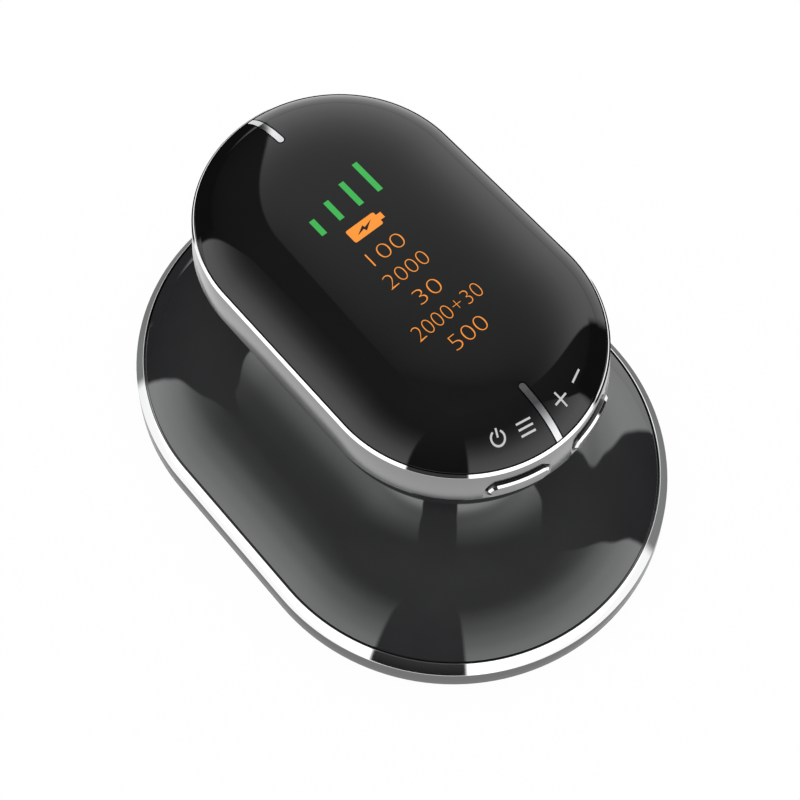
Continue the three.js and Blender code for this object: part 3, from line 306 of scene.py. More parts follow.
class DeviceColours(bpy.types.PropertyGroup):
    """Colours of the finishes, as linear values."""

    cover: colour("Cover", (0.0045, 0.0045, 0.0047), "Glossy black of the cover")
    shell: colour("Shell", (0.0193, 0.0197, 0.0208), "Graphite of the dish and the tray")
    chrome: colour("Chrome", (0.94, 0.945, 0.95), "Bright edges of the chromed pieces")
    wall: colour("Chrome wall", (0.25, 0.25, 0.255), "Walls of the band and faces of the keys")
    # Ring wall is the ring's own grey wall, and also painted shade on the ends of its bevel that
    # face away from the studio's light.
    ring_wall: colour("Ring wall", (0.2, 0.202, 0.203), "Wall and turned away bevel of the ring")
    silver: colour("Silver", (0.62, 0.63, 0.64), "Satin silver of the strips")
    steel: colour("Steel", (0.6, 0.6, 0.6), "Stainless steel of the electrodes")
    plastic: colour("Black plastic", (0.012, 0.012, 0.013), "Black plastic")
    # Black plastic is also the colour of painted shade in the band's slots and on the turned-away
    # ends of its lip.
    frosted: colour("Frosted", (0.72, 0.71, 0.68), "Frosted plastic")
    board: colour("Circuit board", (0.02, 0.11, 0.045), "Green of the circuit boards")
    ferrite: colour("Ferrite", (0.045, 0.042, 0.04), "Core of the transformer and the inductor")
    can: colour("Capacitor can", (0.55, 0.56, 0.58), "Can of the capacitor")
    ribbon: colour("Ribbon", (0.42, 0.16, 0.03), "Ribbon cable")
    silicone: colour("Silicone", (0.024, 0.024, 0.026), "Gasket")
    foam: colour("Foam", (0.035, 0.035, 0.038), "Foam pad under the battery")
    wrap: colour("Battery wrap", (0.38, 0.42, 0.46), "Wrap of the battery")
    screw: colour("Screw steel", (0.5, 0.51, 0.52), "Screws, pins and the charging socket")
    orange: colour("Orange", (1.0, 0.319, 0.033), "Lit figures")
    green: colour("Green", (0.043, 0.46, 0.082), "Lit bars")
    # The printed signs glow with this colour: painted light, as they are no lamp.
    sign: colour("Sign", (0.578, 0.578, 0.578), "Printed signs")
    floor: colour("Floor", (0.99, 0.99, 0.99), "Studio floor")


# Modelling steps.


def only(obj):
    """Make obj the one selected and active object."""
    bpy.ops.object.select_all(action="DESELECT")
    obj.select_set(True)
    bpy.context.view_layer.objects.active = obj


def edit(obj):
    """Open obj for editing with everything in it selected."""
    only(obj)
    bpy.ops.object.mode_set(mode="EDIT")
    bpy.ops.mesh.select_mode(type="VERT")
    bpy.ops.mesh.select_all(action="SELECT")


def done():
    """Leave edit mode."""
    bpy.ops.object.mode_set(mode="OBJECT")


def pick(kind, test):
    """Select the vertices, edges or faces of the edited mesh that pass a test."""
    modes = {"verts": "VERT", "edges": "EDGE", "faces": "FACE"}
    bpy.ops.mesh.select_mode(type=modes[kind])
    bpy.ops.mesh.select_all(action="DESELECT")
    mesh = bpy.context.edit_object.data
    view = bmesh.from_edit_mesh(mesh)
    for element in getattr(view, kind):
        element.select = test(element)
    view.select_flush_mode()
    bmesh.update_edit_mesh(mesh)


def named(name):
    """Name the active object and its mesh, and apply its place."""
    obj = bpy.context.object
    obj.name = name
    obj.data.name = name
    bpy.ops.object.transform_apply(location=True, rotation=True, scale=True)
    return obj


def added(name, operator, **settings):
    """Add a primitive with its operator, as the one selected object."""
    bpy.ops.object.select_all(action="DESELECT")
    operator(**settings)
    return named(name)


def block(name, middle, spans):
    """Box with its spans along X, Y and Z."""
    add = bpy.ops.mesh.primitive_cube_add
    return added(name, add, size=1.0, location=middle, scale=spans)


def drum(name, radius, height, middle, steps):
    """Upright cylinder."""
    add = bpy.ops.mesh.primitive_cylinder_add
    return added(name, add, vertices=steps, radius=radius, depth=height, location=middle)


def shift(step):
    bpy.ops.transform.translate(value=step)


def stretch(factors):
    bpy.ops.transform.resize(value=factors, center_override=(0, 0, 0))


def rotate(angle, axis="Z"):
    bpy.ops.transform.rotate(value=-angle, orient_axis=axis, center_override=(0, 0, 0))


def extrude(operator, step):
    """Extrude what is selected with an extrude operator, by a step."""
    operator(TRANSFORM_OT_translate={"value": step})


def placed(obj, angle, step, axis="Z"):
    """Turn obj about an axis of the frame, move it and apply its place."""
    only(obj)
    rotate(angle, axis)
    shift(step)
    bpy.ops.object.transform_apply(location=True, rotation=True, scale=True)
    return obj


def deleted(obj):
    only(obj)
    bpy.ops.object.delete()


def modified(obj, kind, **settings):
    """Add a modifier, set it and apply it."""
    only(obj)
    bpy.ops.object.modifier_add(type=kind)
    modifier = obj.modifiers[-1]
    for key, value in settings.items():
        setattr(modifier, key, value)
    bpy.ops.object.modifier_apply(modifier=modifier.name)
    return obj


def boolean(obj, other, operation="DIFFERENCE"):
    """Cut, join or cross obj with another solid, and delete that one."""
    modified(obj, "BOOLEAN", object=other, operation=operation, solver="EXACT")
    deleted(other)
    return obj


def copied(obj, name):
    """Copy of obj with a mesh of its own."""
    only(obj)
    bpy.ops.object.duplicate(linked=False)
    return named(name)


def joined(name, pieces):
    """Join pieces into one object."""
    bpy.ops.object.select_all(action="DESELECT")
    for piece in pieces:
        piece.select_set(True)
    bpy.context.view_layer.objects.active = pieces[0]
    if len(pieces) > 1:
        bpy.ops.object.join()
    return named(name)


def smooth(obj, angle=SMOOTH_ANGLE):
    """Point the normals outwards and shade smooth across soft edges."""
    edit(obj)
    bpy.ops.mesh.remove_doubles(threshold=MERGE / 4)
    bpy.ops.mesh.select_all(action="SELECT")
    bpy.ops.mesh.normals_make_consistent(inside=False)
    done()
    only(obj)
    bpy.ops.object.shade_smooth_by_angle(angle=angle)
    return obj


def line(name, points):
    """Mesh of one line, drawn by extruding a vertex from point to point."""
    obj = added(name, bpy.ops.mesh.primitive_plane_add, size=MM, location=points[0])
    edit(obj)
    bpy.ops.mesh.merge(type="CENTER")
    for here, there in zip(points, points[1:]):
        extrude(bpy.ops.mesh.extrude_vertices_move, Vector(there) - Vector(here))
    bpy.ops.mesh.select_all(action="SELECT")
    return obj


def stadium(name, profile, half, closed=True):
    """Solid swept round a stadium from a profile of (radius, height, half straight) points.

    One end of the outline is swept and mirrored. A point that names no half straight of its own
    takes the one given.
    """
    points = [(0.0, -p[0], p[1]) for p in profile]
    if closed:
        points.append(points[0])
    obj = line(name, points)
    bpy.ops.mesh.remove_doubles(threshold=MERGE)
    for share in STRAIGHT_SHARES:
        extrude(bpy.ops.mesh.extrude_edges_move, (half * share, 0, 0))
    bpy.ops.mesh.spin(
        steps=HALF_TURN_STEPS, angle=math.pi, center=(half, 0, 0), axis=(0, 0, -1)
    )
    for share in reversed(STRAIGHT_SHARES):
        extrude(bpy.ops.mesh.extrude_edges_move, (-half * share, 0, 0))
    bpy.ops.mesh.select_all(action="SELECT")
    bpy.ops.mesh.remove_doubles(threshold=MERGE)
    for point in profile:
        if len(point) > 2 and abs(point[2] - half) > MERGE:
            shift_row(point, half)
    done()
    modified(
        obj, "MIRROR", use_axis=(True, False, False), use_mirror_merge=True,
        merge_threshold=MERGE * 10,
    )
    return smooth(obj)


def shift_row(point, half):
    """Move the round end of one swept row so that it has its own half straight."""
    radius, height, own = point

    def on_row(vertex):
        x, y, z = vertex.co
        off_row = max(abs(z - height), abs(math.hypot(x - half, y) - radius))
        return x > half - MERGE and off_row < MERGE * 3

    pick("verts", on_row)
    shift((own - half, 0, 0))


def pill(name, length, width):
    """Flat face with the outline of a pill, lying along X round the origin."""
    obj = added(
        name, bpy.ops.mesh.primitive_circle_add, vertices=2 * PILL_STEPS, radius=width / 2,
        fill_type="NGON", rotation=(0, 0, math.pi / 2 / PILL_STEPS),
    )
    edit(obj)
    for side in (1, -1):
        pick("verts", lambda vertex: vertex.co.x * side > 0)
        shift((side * (length - width) / 2, 0, 0))
    done()
    return obj


def flat_bar(name, length, width, cuts=8):
    """Flat bar along X round the origin, cut across so that it can follow a curve."""
    obj = added(name, bpy.ops.mesh.primitive_plane_add, size=1.0)
    edit(obj)
    stretch((length, width, 1))
    done()
    return sliced(obj, length, cuts)


def sliced(obj, length, cuts):
    """Cut obj across X into slices, so that it can bend."""
    edit(obj)
    for k in range(1, cuts):
        bpy.ops.mesh.select_mode(type="VERT")
        bpy.ops.mesh.select_all(action="SELECT")
        place = length * (k / cuts - 0.5)
        bpy.ops.mesh.bisect(plane_co=(place, 0, 0), plane_no=(1, 0, 0))
    done()
    return obj


def prism(obj, low, high):
    """Turn a flat face into an upright prism."""
    edit(obj)
    shift((0, 0, low))
    extrude(bpy.ops.mesh.extrude_region_move, (0, 0, high - low))
    done()
    return obj


def offset_line(points, reach):
    """Points of a line moved to its left."""
    moved = []
    for i, (x, y) in enumerate(points):
        ax, ay = points[max(i - 1, 0)]
        bx, by = points[min(i + 1, len(points) - 1)]
        length = math.hypot(bx - ax, by - ay)
        moved.append((x - (by - ay) / length * reach, y + (bx - ax) / length * reach))
    return moved


def curve_between(start, end, shares, steps):
    """Smooth line from start to end, through shares of its run and rise."""
    knots = [
        (start[0] + (end[0] - start[0]) * u, start[1] + (end[1] - start[1]) * v)
        for u, v in shares
    ]
    last = len(knots) - 1
    points = []
    for step in range(steps + 1):
        place = last * step / steps
        k = min(int(place), last - 1)
        t = place - k
        before, here = knots[max(k - 1, 0)], knots[k]
        there, after = knots[k + 1], knots[min(k + 2, last)]
        point = []
        for a, b, c, d in zip(before, here, there, after):
            into, out = (c - a) / 2, (d - b) / 2
            point.append(
                (2 * b - 2 * c + into + out) * t ** 3
                + (3 * c - 3 * b - 2 * into - out) * t ** 2 + into * t + b
            )
        points.append(tuple(point))
    return points


def arc(centre, radius, first, last, steps):
    """Points of an arc, from one angle in degrees to another."""
    angles = [math.radians(first + (last - first) * k / steps) for k in range(steps + 1)]
    x, y = centre
    return [(x + radius * math.cos(a), y + radius * math.sin(a)) for a in angles]


def rounded(corner, before, after, reach, steps=3):
    """Points of a corner softened by a curve that starts and ends at a reach from it."""
    corner = Vector(corner)
    start = corner + (Vector(before) - corner).normalized() * reach
    end = corner + (Vector(after) - corner).normalized() * reach
    points = []
    for k in range(steps + 1):
        t = k / steps
        point = start * (1 - t) ** 2 + corner * 2 * t * (1 - t) + end * t ** 2
        points.append((point.x, point.y))
    return points


def coat(obj, look):
    """Give a piece one finish, by name."""
    obj.data.materials.clear()
    obj.data.materials.append(finish_named(look))


def hand_over(obj, slot, look, *nodes, body="housing"):
    """Give a finished piece its finish, its body and the CAD nodes that it stands for."""
    coat(obj, look)
    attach(obj, body)
    if nodes:
        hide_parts(*nodes)


# Materials.


class Wire:
    """Output of a shader node that can be used in sums."""

    def __init__(self, tree, socket):
        self.tree = tree
        self.socket = socket

    def node(self, kind, plugs=None, output=0, **settings):
        """Add a node to this wire's tree and return one of its outputs."""
        return add_node(self.tree, kind, plugs, output, **settings)

    def join(self, operation, *terms):
        """Combine numbers, or vectors where one of the terms is one."""
        vectors = [t for t in terms if isinstance(t, Wire) and t.socket.type == "VECTOR"]
        kind = "ShaderNodeVectorMath" if vectors else "ShaderNodeMath"
        return self.node(kind, dict(enumerate(terms)), operation=operation)

    def __add__(self, other):
        return self.join("ADD", self, other)

    def __radd__(self, other):
        return self.join("ADD", other, self)

    def __sub__(self, other):
        return self.join("SUBTRACT", self, other)

    def __rsub__(self, other):
        return self.join("SUBTRACT", other, self)

    def __mul__(self, other):
        return self.join("MULTIPLY", self, other)

    def __rmul__(self, other):
        return self.join("MULTIPLY", other, self)

    def __pow__(self, other):
        return self.join("POWER", self, other)

    def __abs__(self):
        return self.join("ABSOLUTE", self)

    def least(self, other):
        return self.join("MINIMUM", self, other)

    def most(self, other):
        return self.join("MAXIMUM", self, other)

    def degrees(self):
        return self * math.degrees(1.0)

    def part(self, axis):
        """One component of a vector."""
        return self.node("ShaderNodeSeparateXYZ", {0: self}, output=axis)

    def ramp(self, low, high, first=0.0, last=1.0, kind="SMOOTHSTEP"):
        """Map a range of this value onto another one."""
        plugs = {"Value": self, "From Min": low, "From Max": high, "To Min": first}
        plugs["To Max"] = last
        return self.node("ShaderNodeMapRange", plugs, interpolation_type=kind)

    def rising(self, level, start, end):
        """Straight step from 0 to 1, whose ends are given in millimetres from a level."""
        return self.ramp(level + start * MM, level + end * MM, 0.0, 1.0, "LINEAR")

    def falling(self, level, start, end):
        """Straight step from 1 to 0, whose ends are given in millimetres from a level."""
        return self.ramp(level + start * MM, level + end * MM, 1.0, 0.0, "LINEAR")

    def between(self, first, last, soft):
        """Share of this bearing that lies between two others, in degrees."""
        shares = [
            self.node("ShaderNodeMath", {0: ahead, 1: 180.0, 2: -180.0}, operation="WRAP").ramp(
                -soft / 2, soft / 2)
            for ahead in (self - first, last - self)
        ]
        return shares[0] * shares[1]

    def blend(self, first, second):
        """Mix two colours by this share."""
        plugs = {0: self, 6: shade(first), 7: shade(second)}
        return self.node("ShaderNodeMix", plugs, output=2, data_type="RGBA")

    def around(self, middle, width):
        """Value that varies over a width round a middle, as this share goes from 0 to 1."""
        return self * width + (middle - width / 2)

    def mottled(self, base, dark, pale, low=0.3, high=0.7):
        """Colour that varies between two multiples of a base, as this share goes up."""
        ends = [[min(c * factor, 1.0) for c in base] for factor in (dark, pale)]
        return self.ramp(low, high).blend(*ends)


def shade(value):
    """A colour with its alpha, or a wire as it is."""
    if isinstance(value, Wire):
        return value
    if isinstance(value, (int, float)):
        return (value, value, value, 1.0)
    return (*tuple(value)[:3], 1.0)


def plug(socket, value):
    """Link a wire to an input, or set the input's own value."""
    if isinstance(value, Wire):
        value.tree.links.new(value.socket, socket)
    else:
        socket.default_value = value


def add_node(tree, kind, plugs=None, output=0, **settings):
    """Add a node, set it, plug values or wires into it, and return one of its outputs."""
    made = tree.nodes.new(kind)
    for key, value in settings.items():
        setattr(made, key, value)
    for key, value in (plugs or {}).items():
        plug(made.inputs[key], value)
    return Wire(tree, made.outputs[output]) if made.outputs else None


def blank_tree(owner):
    """Node tree of a material or a world, emptied."""
    owner.use_nodes = True
    owner.node_tree.nodes.clear()
    return owner.node_tree


class Finish:
    """Procedural material whose values vary over the piece in its object coordinates."""

    made = {}

    def __init__(self, name):
        self.material = bpy.data.materials.new(name)
        self.tree = blank_tree(self.material)
        self.place = add_node(self.tree, "ShaderNodeTexCoord", output="Object")
        self.surface = add_node(self.tree, "ShaderNodeBsdfPrincipled")
        self.inputs = self.surface.socket.node.inputs

    def noise(self, scale, detail=3.0):
        """Noise from 0 to 1, with its scale per metre."""
        plugs = {"Vector": self.place, "Scale": scale, "Detail": detail}
        return self.place.node("ShaderNodeTexNoise", plugs)

    def reach(self, half):
        """Distance from the centreline of an outline."""
        x = (abs(self.place.part(0)) - half).most(0.0)
        y = self.place.part(1)
        return (x * x + y * y) ** 0.5

    def facing(self, half, *windows):
        """Share of an outline whose bearing lies in one of some windows."""
        x = self.place.part(0)
        ahead = x - x.most(-half).least(half)
        bearing = x.join("ARCTAN2", self.place.part(1), ahead).degrees()
        share = bearing.between(*windows[0])
        for window in windows[1:]:
            share = share.most(bearing.between(*window))
        return share

    def set(self, **values):
        """Set inputs of the principled shader. Underscores stand for spaces."""
        for key, value in values.items():
            plug(self.inputs[key.replace("_", " ")], value)

    def bump(self, height, strength, depth):
        """Relief from a height between 0 and 1."""
        plugs = {"Height": height, "Strength": strength, "Distance": depth}
        self.set(Normal=self.place.node("ShaderNodeBump", plugs))

    def dulled(self, share, base):
        """Paint shade by a share: mix in a surface of one dark colour without reflection."""
        plugs = {"Base Color": shade(base), "Specular IOR Level": 0.0}
        painted_shade = add_node(self.tree, "ShaderNodeBsdfPrincipled", plugs)
        self.surface = share.node("ShaderNodeMixShader", {0: share, 1: self.surface, 2: painted_shade})

    def completed(self):
        """Send the surface to the material's output."""
        add_node(self.tree, "ShaderNodeOutputMaterial", {"Surface": self.surface})
        return self.material


def gloss_finish(name, colours, tint, roughness, ior, turned):
    """Polished plastic with a faint unevenness in its gloss. turned gives the share painted with
    shade: its own dark colour without reflection.
    """
    finish = Finish(name)
    base = getattr(colours, tint)
    cloud = finish.noise(90)
    finish.set(
        Base_Color=cloud.mottled(base, 0.92, 1.08), Roughness=cloud.around(roughness, 0.01),
        IOR=ior, Specular_Tint=GLOSS_TINT,
    )
    # Painted shade on the steep edges that face away from the studio's light: the base colour
    # without reflection.
    finish.dulled(turned(finish), base)
    return finish.completed()


def moulded_finish(name, colours, tint, roughness, grain=2500, relief=0.15):
    """Moulded or coated surface with a fine grain."""
    finish = Finish(name)
    grains = finish.noise(grain, 2.0)
    finish.set(
        Base_Color=grains.mottled(getattr(colours, tint), 0.85, 1.15),
        Roughness=grains.around(roughness, 0.1),
    )
    finish.bump(grains, relief, GRAIN_DEPTH)
    return finish.completed()


def brushed_finish(name, colours, tint, roughness, axis):
    """Metal brushed along one axis."""
    finish = Finish(name)
    scales = [9000.0, 9000.0, 9000.0]
    scales[axis] = 120.0
    plugs = {"Vector": finish.place * tuple(scales), "Scale": 1.0}
    lines = finish.place.node("ShaderNodeTexNoise", plugs)
    finish.set(
        Base_Color=lines.mottled(getattr(colours, tint), 0.93, 1.06),
        Roughness=lines.around(roughness, 0.08), Metallic=1.0,
    )
    finish.bump(lines, 0.1, BRUSH_DEPTH)
    return finish.completed()


def lit_finish(name, colours, tint):
    """Mark on the cover that glows: figures and bars lit from behind, and printed signs that are
    given the same glow, a painted light.
    """
    finish = Finish(name)
    finish.set(
        Base_Color=shade(0.0), Roughness=0.4, Emission_Strength=1.0,
        Emission_Color=finish.noise(600).mottled(getattr(colours, tint), 0.96, 1.0, 0.2, 0.8),
    )
    return finish.completed()


def chrome_finish(name, colours, tones, turned=None, edge=1.0):
    """Chrome with greyer walls. tones gives its colour and its walls, turned the share painted with
    shade in black plastic's colour, without reflection.
    """
    finish = Finish(name)
    tone, walls = tones(finish, colours)
    finish.set(
        Base_Color=tone, Roughness=walls * 0.14 + finish.noise(140) * 0.02 + 0.03, Metallic=1.0,
        Specular_Tint=shade(edge),
    )
    # Painted shade in black plastic's colour where turned gives a share, so that the chrome there
    # shows no reflection.
    if turned:
        finish.dulled(turned(finish), colours.plastic)
    return finish.completed()


def ring_tones(finish, colours):
    """Tones of the ring: grey wall, bright bevel and upper edge, and painted shade in grey on the
    bevel's ends that face away from the studio's light.
    """
    base = bpy.context.scene.device_base
    height = finish.place.part(2)
    walls = height.falling(base.ring_top - base.bevel_drop, -0.05, 0.03)
    # Painted shade: outside RING_LIT the bevel takes the wall's grey, up to about 0.12 mm under its
    # upper edge.
    turned = 1.0 - finish.facing(base.half, RING_LIT)
    grey = walls.most(turned * height.falling(base.ring_top, -0.2, -0.12))
    return grey.blend(colours.chrome, colours.ring_wall), walls


def band_tones(finish, colours):
    """Tones of the band: grey wall between bright edges, and painted shade in black inside the
    slots and wherever the band lies deeper than its outside.
    """
    handle = bpy.context.scene.device_handle
    height = finish.place.part(2)
    walls = height.rising(handle.band_foot + handle.band_round, 0.0, 0.25)
    walls = walls * height.falling(shoulder_height(handle), -0.05, 0.02)
    above = height - handle.band_foot
    outside = handle.radius - above * (handle.band_draft / handle.band_height)
    depth = outside - finish.reach(handle.half)
    ends = [handle.band_height - below for below in SLOT_TOP]
    # Painted shade: black plastic's colour in the slots and the bore, deeper than SLOT_DEPTH under
    # the band's outside.
    slots = depth.ramp(*SLOT_DEPTH) * above.ramp(*ends, 1.0, 0.0)
    tone = walls.blend(colours.chrome, colours.wall)
    return slots.blend(tone, colours.plastic), walls


def key_tones(finish, colours):
    """Tones of a key: grey face and sides, and a bright bevel."""
    handle = bpy.context.scene.device_handle
    face = band_radius(handle, handle.key_height) + handle.key_proud
    reach = finish.reach(handle.half)
    walls = reach.rising(face, -0.12, -0.06)
    sides = reach.falling(face - handle.key_chamfer, -0.08, -0.02)
    return sides.blend(walls.blend(colours.chrome, colours.wall), colours.ring_wall), walls


def painted_shade_on_lip(finish):
    """Share of painted shade on the outer half of the band's lip, where its ends face away from the
    studio's light.
    """
    handle = bpy.context.scene.device_handle
    shoulder = shoulder_height(handle)
    outer = finish.reach(handle.half).rising(lip_radius(handle), 0.15, 0.21)
    lip = outer * finish.place.part(2).ramp(shoulder - 0.05 * MM, shoulder)
    return lip * finish.facing(handle.half, *LIP_PAINTED_SHADE)


def painted_shade_on_cover(finish):
    """Share of painted shade on the steep edge of the cover, where its ends face away from the
    studio's light.
    """
    half = bpy.context.scene.device_handle.half
    return finish.reach(half).ramp(*COVER_STEEP) * finish.facing(half, *COVER_PAINTED_SHADE)


def painted_shade_on_dish(finish):
    """Share of painted shade on the steep rim of the dish, where it faces away from the studio's
    light.
    """
    half = bpy.context.scene.device_base.half
    return finish.reach(half).ramp(*DISH_STEEP) * finish.facing(half, *DISH_PAINTED_SHADE)


# Maker of each finish, then what it takes after the name and the colours: first the name of a
# colour, or for chrome the function that gives its tones.
FINISHES = {
    "glossy_black": (gloss_finish, "cover", 0.035, 1.52, painted_shade_on_cover),
    "graphite_shell": (gloss_finish, "shell", 0.028, 2.02, painted_shade_on_dish),
    "ring_chrome": (chrome_finish, ring_tones, None, 0.55),
    "band_chrome": (chrome_finish, band_tones, painted_shade_on_lip),
    "key_chrome": (chrome_finish, key_tones),
    "satin_silver": (brushed_finish, "silver", 0.1, 0),
    "stainless_electrode": (brushed_finish, "steel", 0.22, 1),
    "capacitor_can": (brushed_finish, "can", 0.3, 2),
    "steel": (brushed_finish, "screw", 0.3, 2),
    "black_plastic": (moulded_finish, "plastic", 0.45),
    "frosted_plastic": (moulded_finish, "frosted", 0.5, 1500, 0.1),
    "circuit_board": (moulded_finish, "board", 0.4, 700),
    "ferrite": (moulded_finish, "ferrite", 0.6, 1800),
    "ribbon": (moulded_finish, "ribbon", 0.4, 900),
    "silicone": (moulded_finish, "silicone", 0.7, 1200),
    "foam": (moulded_finish, "foam", 0.9, 900, 0.6),
    "battery_wrap": (moulded_finish, "wrap", 0.3, 300),
    "lit_orange": (lit_finish, "orange"),
    "lit_green": (lit_finish, "green"),
    # The printed key signs glow like the lit marks: painted light.
    "sign_silver": (lit_finish, "sign"),
}
# Finish of a CAD piece whose material slot is not itself the name of a finish.
SLOT_FINISHES = {"chrome_trim": "band_chrome"}


def finish_named(name):
    """A finish by name, made the first time it is asked for."""
    if name not in Finish.made:
        make, *values = FINISHES[name]
        Finish.made[name] = make(name, bpy.context.scene.device_colours, *values)
    return Finish.made[name]


# Shapes of the pieces.


def dish_half(base, handle, rim, radius):
    """Half straight of the dish at a radius, which shrinks from its rim to the waist."""
    share = (rim - radius) / (rim - base.waist_radius)
    return base.half + (handle.half - base.half) * min(max(share, 0.0), 1.0)


def rim_radius(base):
    return base.radius - base.draft - base.bevel_width - base.rim_gap


def band_radius(handle, height):
    """Outer radius of the band at a height."""
    return handle.radius - handle.band_draft * (height - handle.band_foot) / handle.band_height


def shoulder_height(handle):
    """Height where the band's wall meets the bevel of its lip."""
    return handle.band_foot + handle.band_height - handle.lip_drop


def lip_radius(handle):
    return handle.radius - handle.band_draft - handle.lip_width


def cover_radius(handle):
    return lip_radius(handle) - handle.cover_gap


def cover_foot(handle):
    return handle.band_foot + handle.band_height - handle.ledge_depth + handle.gasket


def dome_height(handle, radius):
    """Height of the cover's outside at a distance from the centreline."""
    return handle.height - handle.dome_drop * (radius / handle.dome_radius) ** handle.dome_power


def dome_line(handle, steps):
    """Points up the cover's outside, closer together near its edge."""
    shares = [1 - (k / steps) ** CROWDING for k in range(steps + 1)]
    radii = [cover_radius(handle) * share for share in shares]
    return [(radius, dome_height(handle, radius)) for radius in radii]


def dome_body(handle, name, depth):
    """Solid below the cover's outside, at a depth under it."""
    points = offset_line(dome_line(handle, DOME_STEPS), depth)
    points[-1] = (0.0, handle.height - depth)
    low = handle.band_foot
    profile = [(0.0, low), (points[0][0], low), *points]
    return stadium(name, profile, handle.half, closed=False)


def bent_bar(name, length, rise, outer, inner, chamfer=0.0):
    """Bar with round ends, still straight, its outside towards -Y.

    outer and inner are distances from the band's radius at the keys, out and in.
    """
    thickness = outer + inner
    obj = block(name, (0, (inner - outer) / 2, 0), (length, thickness, rise))
    edit(obj)
    pick("edges", lambda e: abs(e.verts[0].co.y - e.verts[1].co.y) > thickness / 2)
    bpy.ops.mesh.bevel(offset=rise * END_ROUND, segments=BEND_CUTS, affect="EDGES")
    if chamfer:
        pick("edges", lambda e: all(v.co.y < MERGE - outer for v in e.verts))
        bpy.ops.mesh.bevel(offset=chamfer, segments=1, affect="EDGES")
    done()
    return sliced(obj, length, BEND_CUTS)


def bend_to_band(obj, length):
    """Bend a straight bar round the arc centre, and put that centre at the origin."""
    handle = bpy.context.scene.device_handle
    radius = band_radius(handle, handle.key_height)
    modified(
        obj, "SIMPLE_DEFORM", deform_method="BEND", deform_axis="Z", angle=length / radius
    )
    return placed(obj, 0.0, (0, -radius, 0))


def at_key(obj, side):
    """Put a piece that faces -Y from the arc centre at its place in the band."""
    handle = bpy.context.scene.device_handle
    angle = math.pi / 2 + side * handle.key_angle
    return placed(obj, angle, (handle.half, 0, handle.key_height))


def slot_cutter(name):
    """Cutter of a key's slot, widened at the band's outside."""
    handle = bpy.context.scene.device_handle
    length = handle.key_length + 2 * handle.key_gap
    rise = handle.key_rise + 2 * handle.key_gap
    depth = handle.radius - handle.band_bore + 2 * OVERRUN
    chamfer = handle.slot_chamfer
    obj = bent_bar(name, length, rise, -chamfer, depth)
    edit(obj)
    pick("faces", lambda face: all(v.co.y < chamfer + MERGE for v in face.verts))
    extrude(bpy.ops.mesh.extrude_region_move, (0, -chamfer, 0))
    stretch(((length + 2 * chamfer) / length, 1.0, (rise + 2 * chamfer) / rise))
    extrude(bpy.ops.mesh.extrude_region_move, (0, -2 * OVERRUN, 0))
    done()
    return smooth(bend_to_band(obj, length + 2 * chamfer))


def end_prism(name, length, rise, inner, outer):
    """Straight pill prism that points to -X from the arc centre of the far end."""
    handle = bpy.context.scene.device_handle
    obj = prism(pill(name, length, rise), inner, outer)
    placed(obj, math.pi / 2, (0, 0, 0))
    return smooth(placed(obj, -math.pi / 2, (-handle.half, 0, handle.key_height), "Y"))


def on_cover(obj, proud):
    """Lay a flat mark on the cover and give it a thin body."""
    edit(obj)
    pick("faces", lambda face: face.normal.z < 0)
    bpy.ops.mesh.flip_normals()
    bpy.ops.mesh.select_all(action="SELECT")
    shift((0, 0, 2 * bpy.context.scene.device_handle.height))
    done()
    modified(
        obj, "SHRINKWRAP", target=bpy.data.objects["cover"], wrap_method="PROJECT",
        wrap_mode="ABOVE_SURFACE", use_project_z=True, use_positive_direction=False,
        use_negative_direction=True, offset=proud,
    )
    modified(obj, "SOLIDIFY", thickness=2 * proud, offset=-1.0)
    return smooth(obj)


class DEVICE_OT_ring(bpy.types.Operator):
    """Model the chromed ring round the base"""

    bl_idname = "device.ring"
    bl_label = "Base ring"

    def execute(self, context):
        base = context.scene.device_base
        foot, top = base.foot, base.ring_top
        bevel_out = base.radius - base.draft
        bevel_in = bevel_out - base.bevel_width
        low, high = (bevel_out, top - base.bevel_drop), (bevel_in, top)
        bore = bevel_in - base.gap / 2
        wall = base.radius - base.ring_wall - base.foot_round
        lip = wall - base.ring_lip
        flange = top - base.rim_depth
        foot_centre = (base.radius - base.foot_round, foot + base.foot_round)
        profile = [
            (lip, foot),
            *arc(foot_centre, base.foot_round, -90, 0, 5),
            *rounded(low, (base.radius, foot), high, base.edge_round),
            *rounded(high, low, (bore, top), base.edge_round),
            (bore, top - base.gap / 3),
            (bore, flange),
            (bore - base.flange_reach, flange),
            (bore - base.flange_reach, flange - base.lip_thickness),
            (wall, flange - base.lip_thickness),
            (wall, foot + base.lip_thickness),
            (lip, foot + base.lip_thickness),
        ]
        hand_over(stadium("ring", profile, base.half), "chrome_trim", "ring_chrome", "base_ring")
        return {"FINISHED"}


class DEVICE_OT_dish(bpy.types.Operator):
    """Model the dish between the ring and the waist"""

    bl_idname = "device.dish"
    bl_label = "Dish"

    def execute(self, context):
        base, handle = context.scene.device_base, context.scene.device_handle
        rim = rim_radius(base)
        rim_foot = base.ring_top - base.rim_depth + handle.fit
        start, end = (rim, base.ring_top - base.rim_drop), (base.waist_radius, base.waist_height)
        outer = curve_between(start, end, DISH_SHARES, 60)
        softened = rounded(start, (rim, rim_foot), outer[1], base.rim_round, 4)
        outer = [p for p in outer[1:] if p[0] < softened[-1][0] - MERGE]
        inner = offset_line(curve_between(start, end, DISH_SHARES, 24), base.dish_wall)
        under = base.waist_height - base.neck_flange
        kept = [p for p in inner if rim_foot + base.rim_ledge < p[1] < under - handle.fit]
        profile = [
            (rim, rim_foot),
            *softened,
            *outer,
            (base.neck_opening, base.waist_height),
            (base.neck_opening, under),
            (base.waist_radius - base.dish_wall, under),
            *reversed(kept),
            (rim - base.dish_wall, rim_foot),
        ]
        profile = [(r, z, dish_half(base, handle, rim, r)) for r, z in profile]
        dish = stadium("dish", profile, base.half)
        hand_over(dish, "graphite_shell", "graphite_shell", "dish_shell")
        return {"FINISHED"}


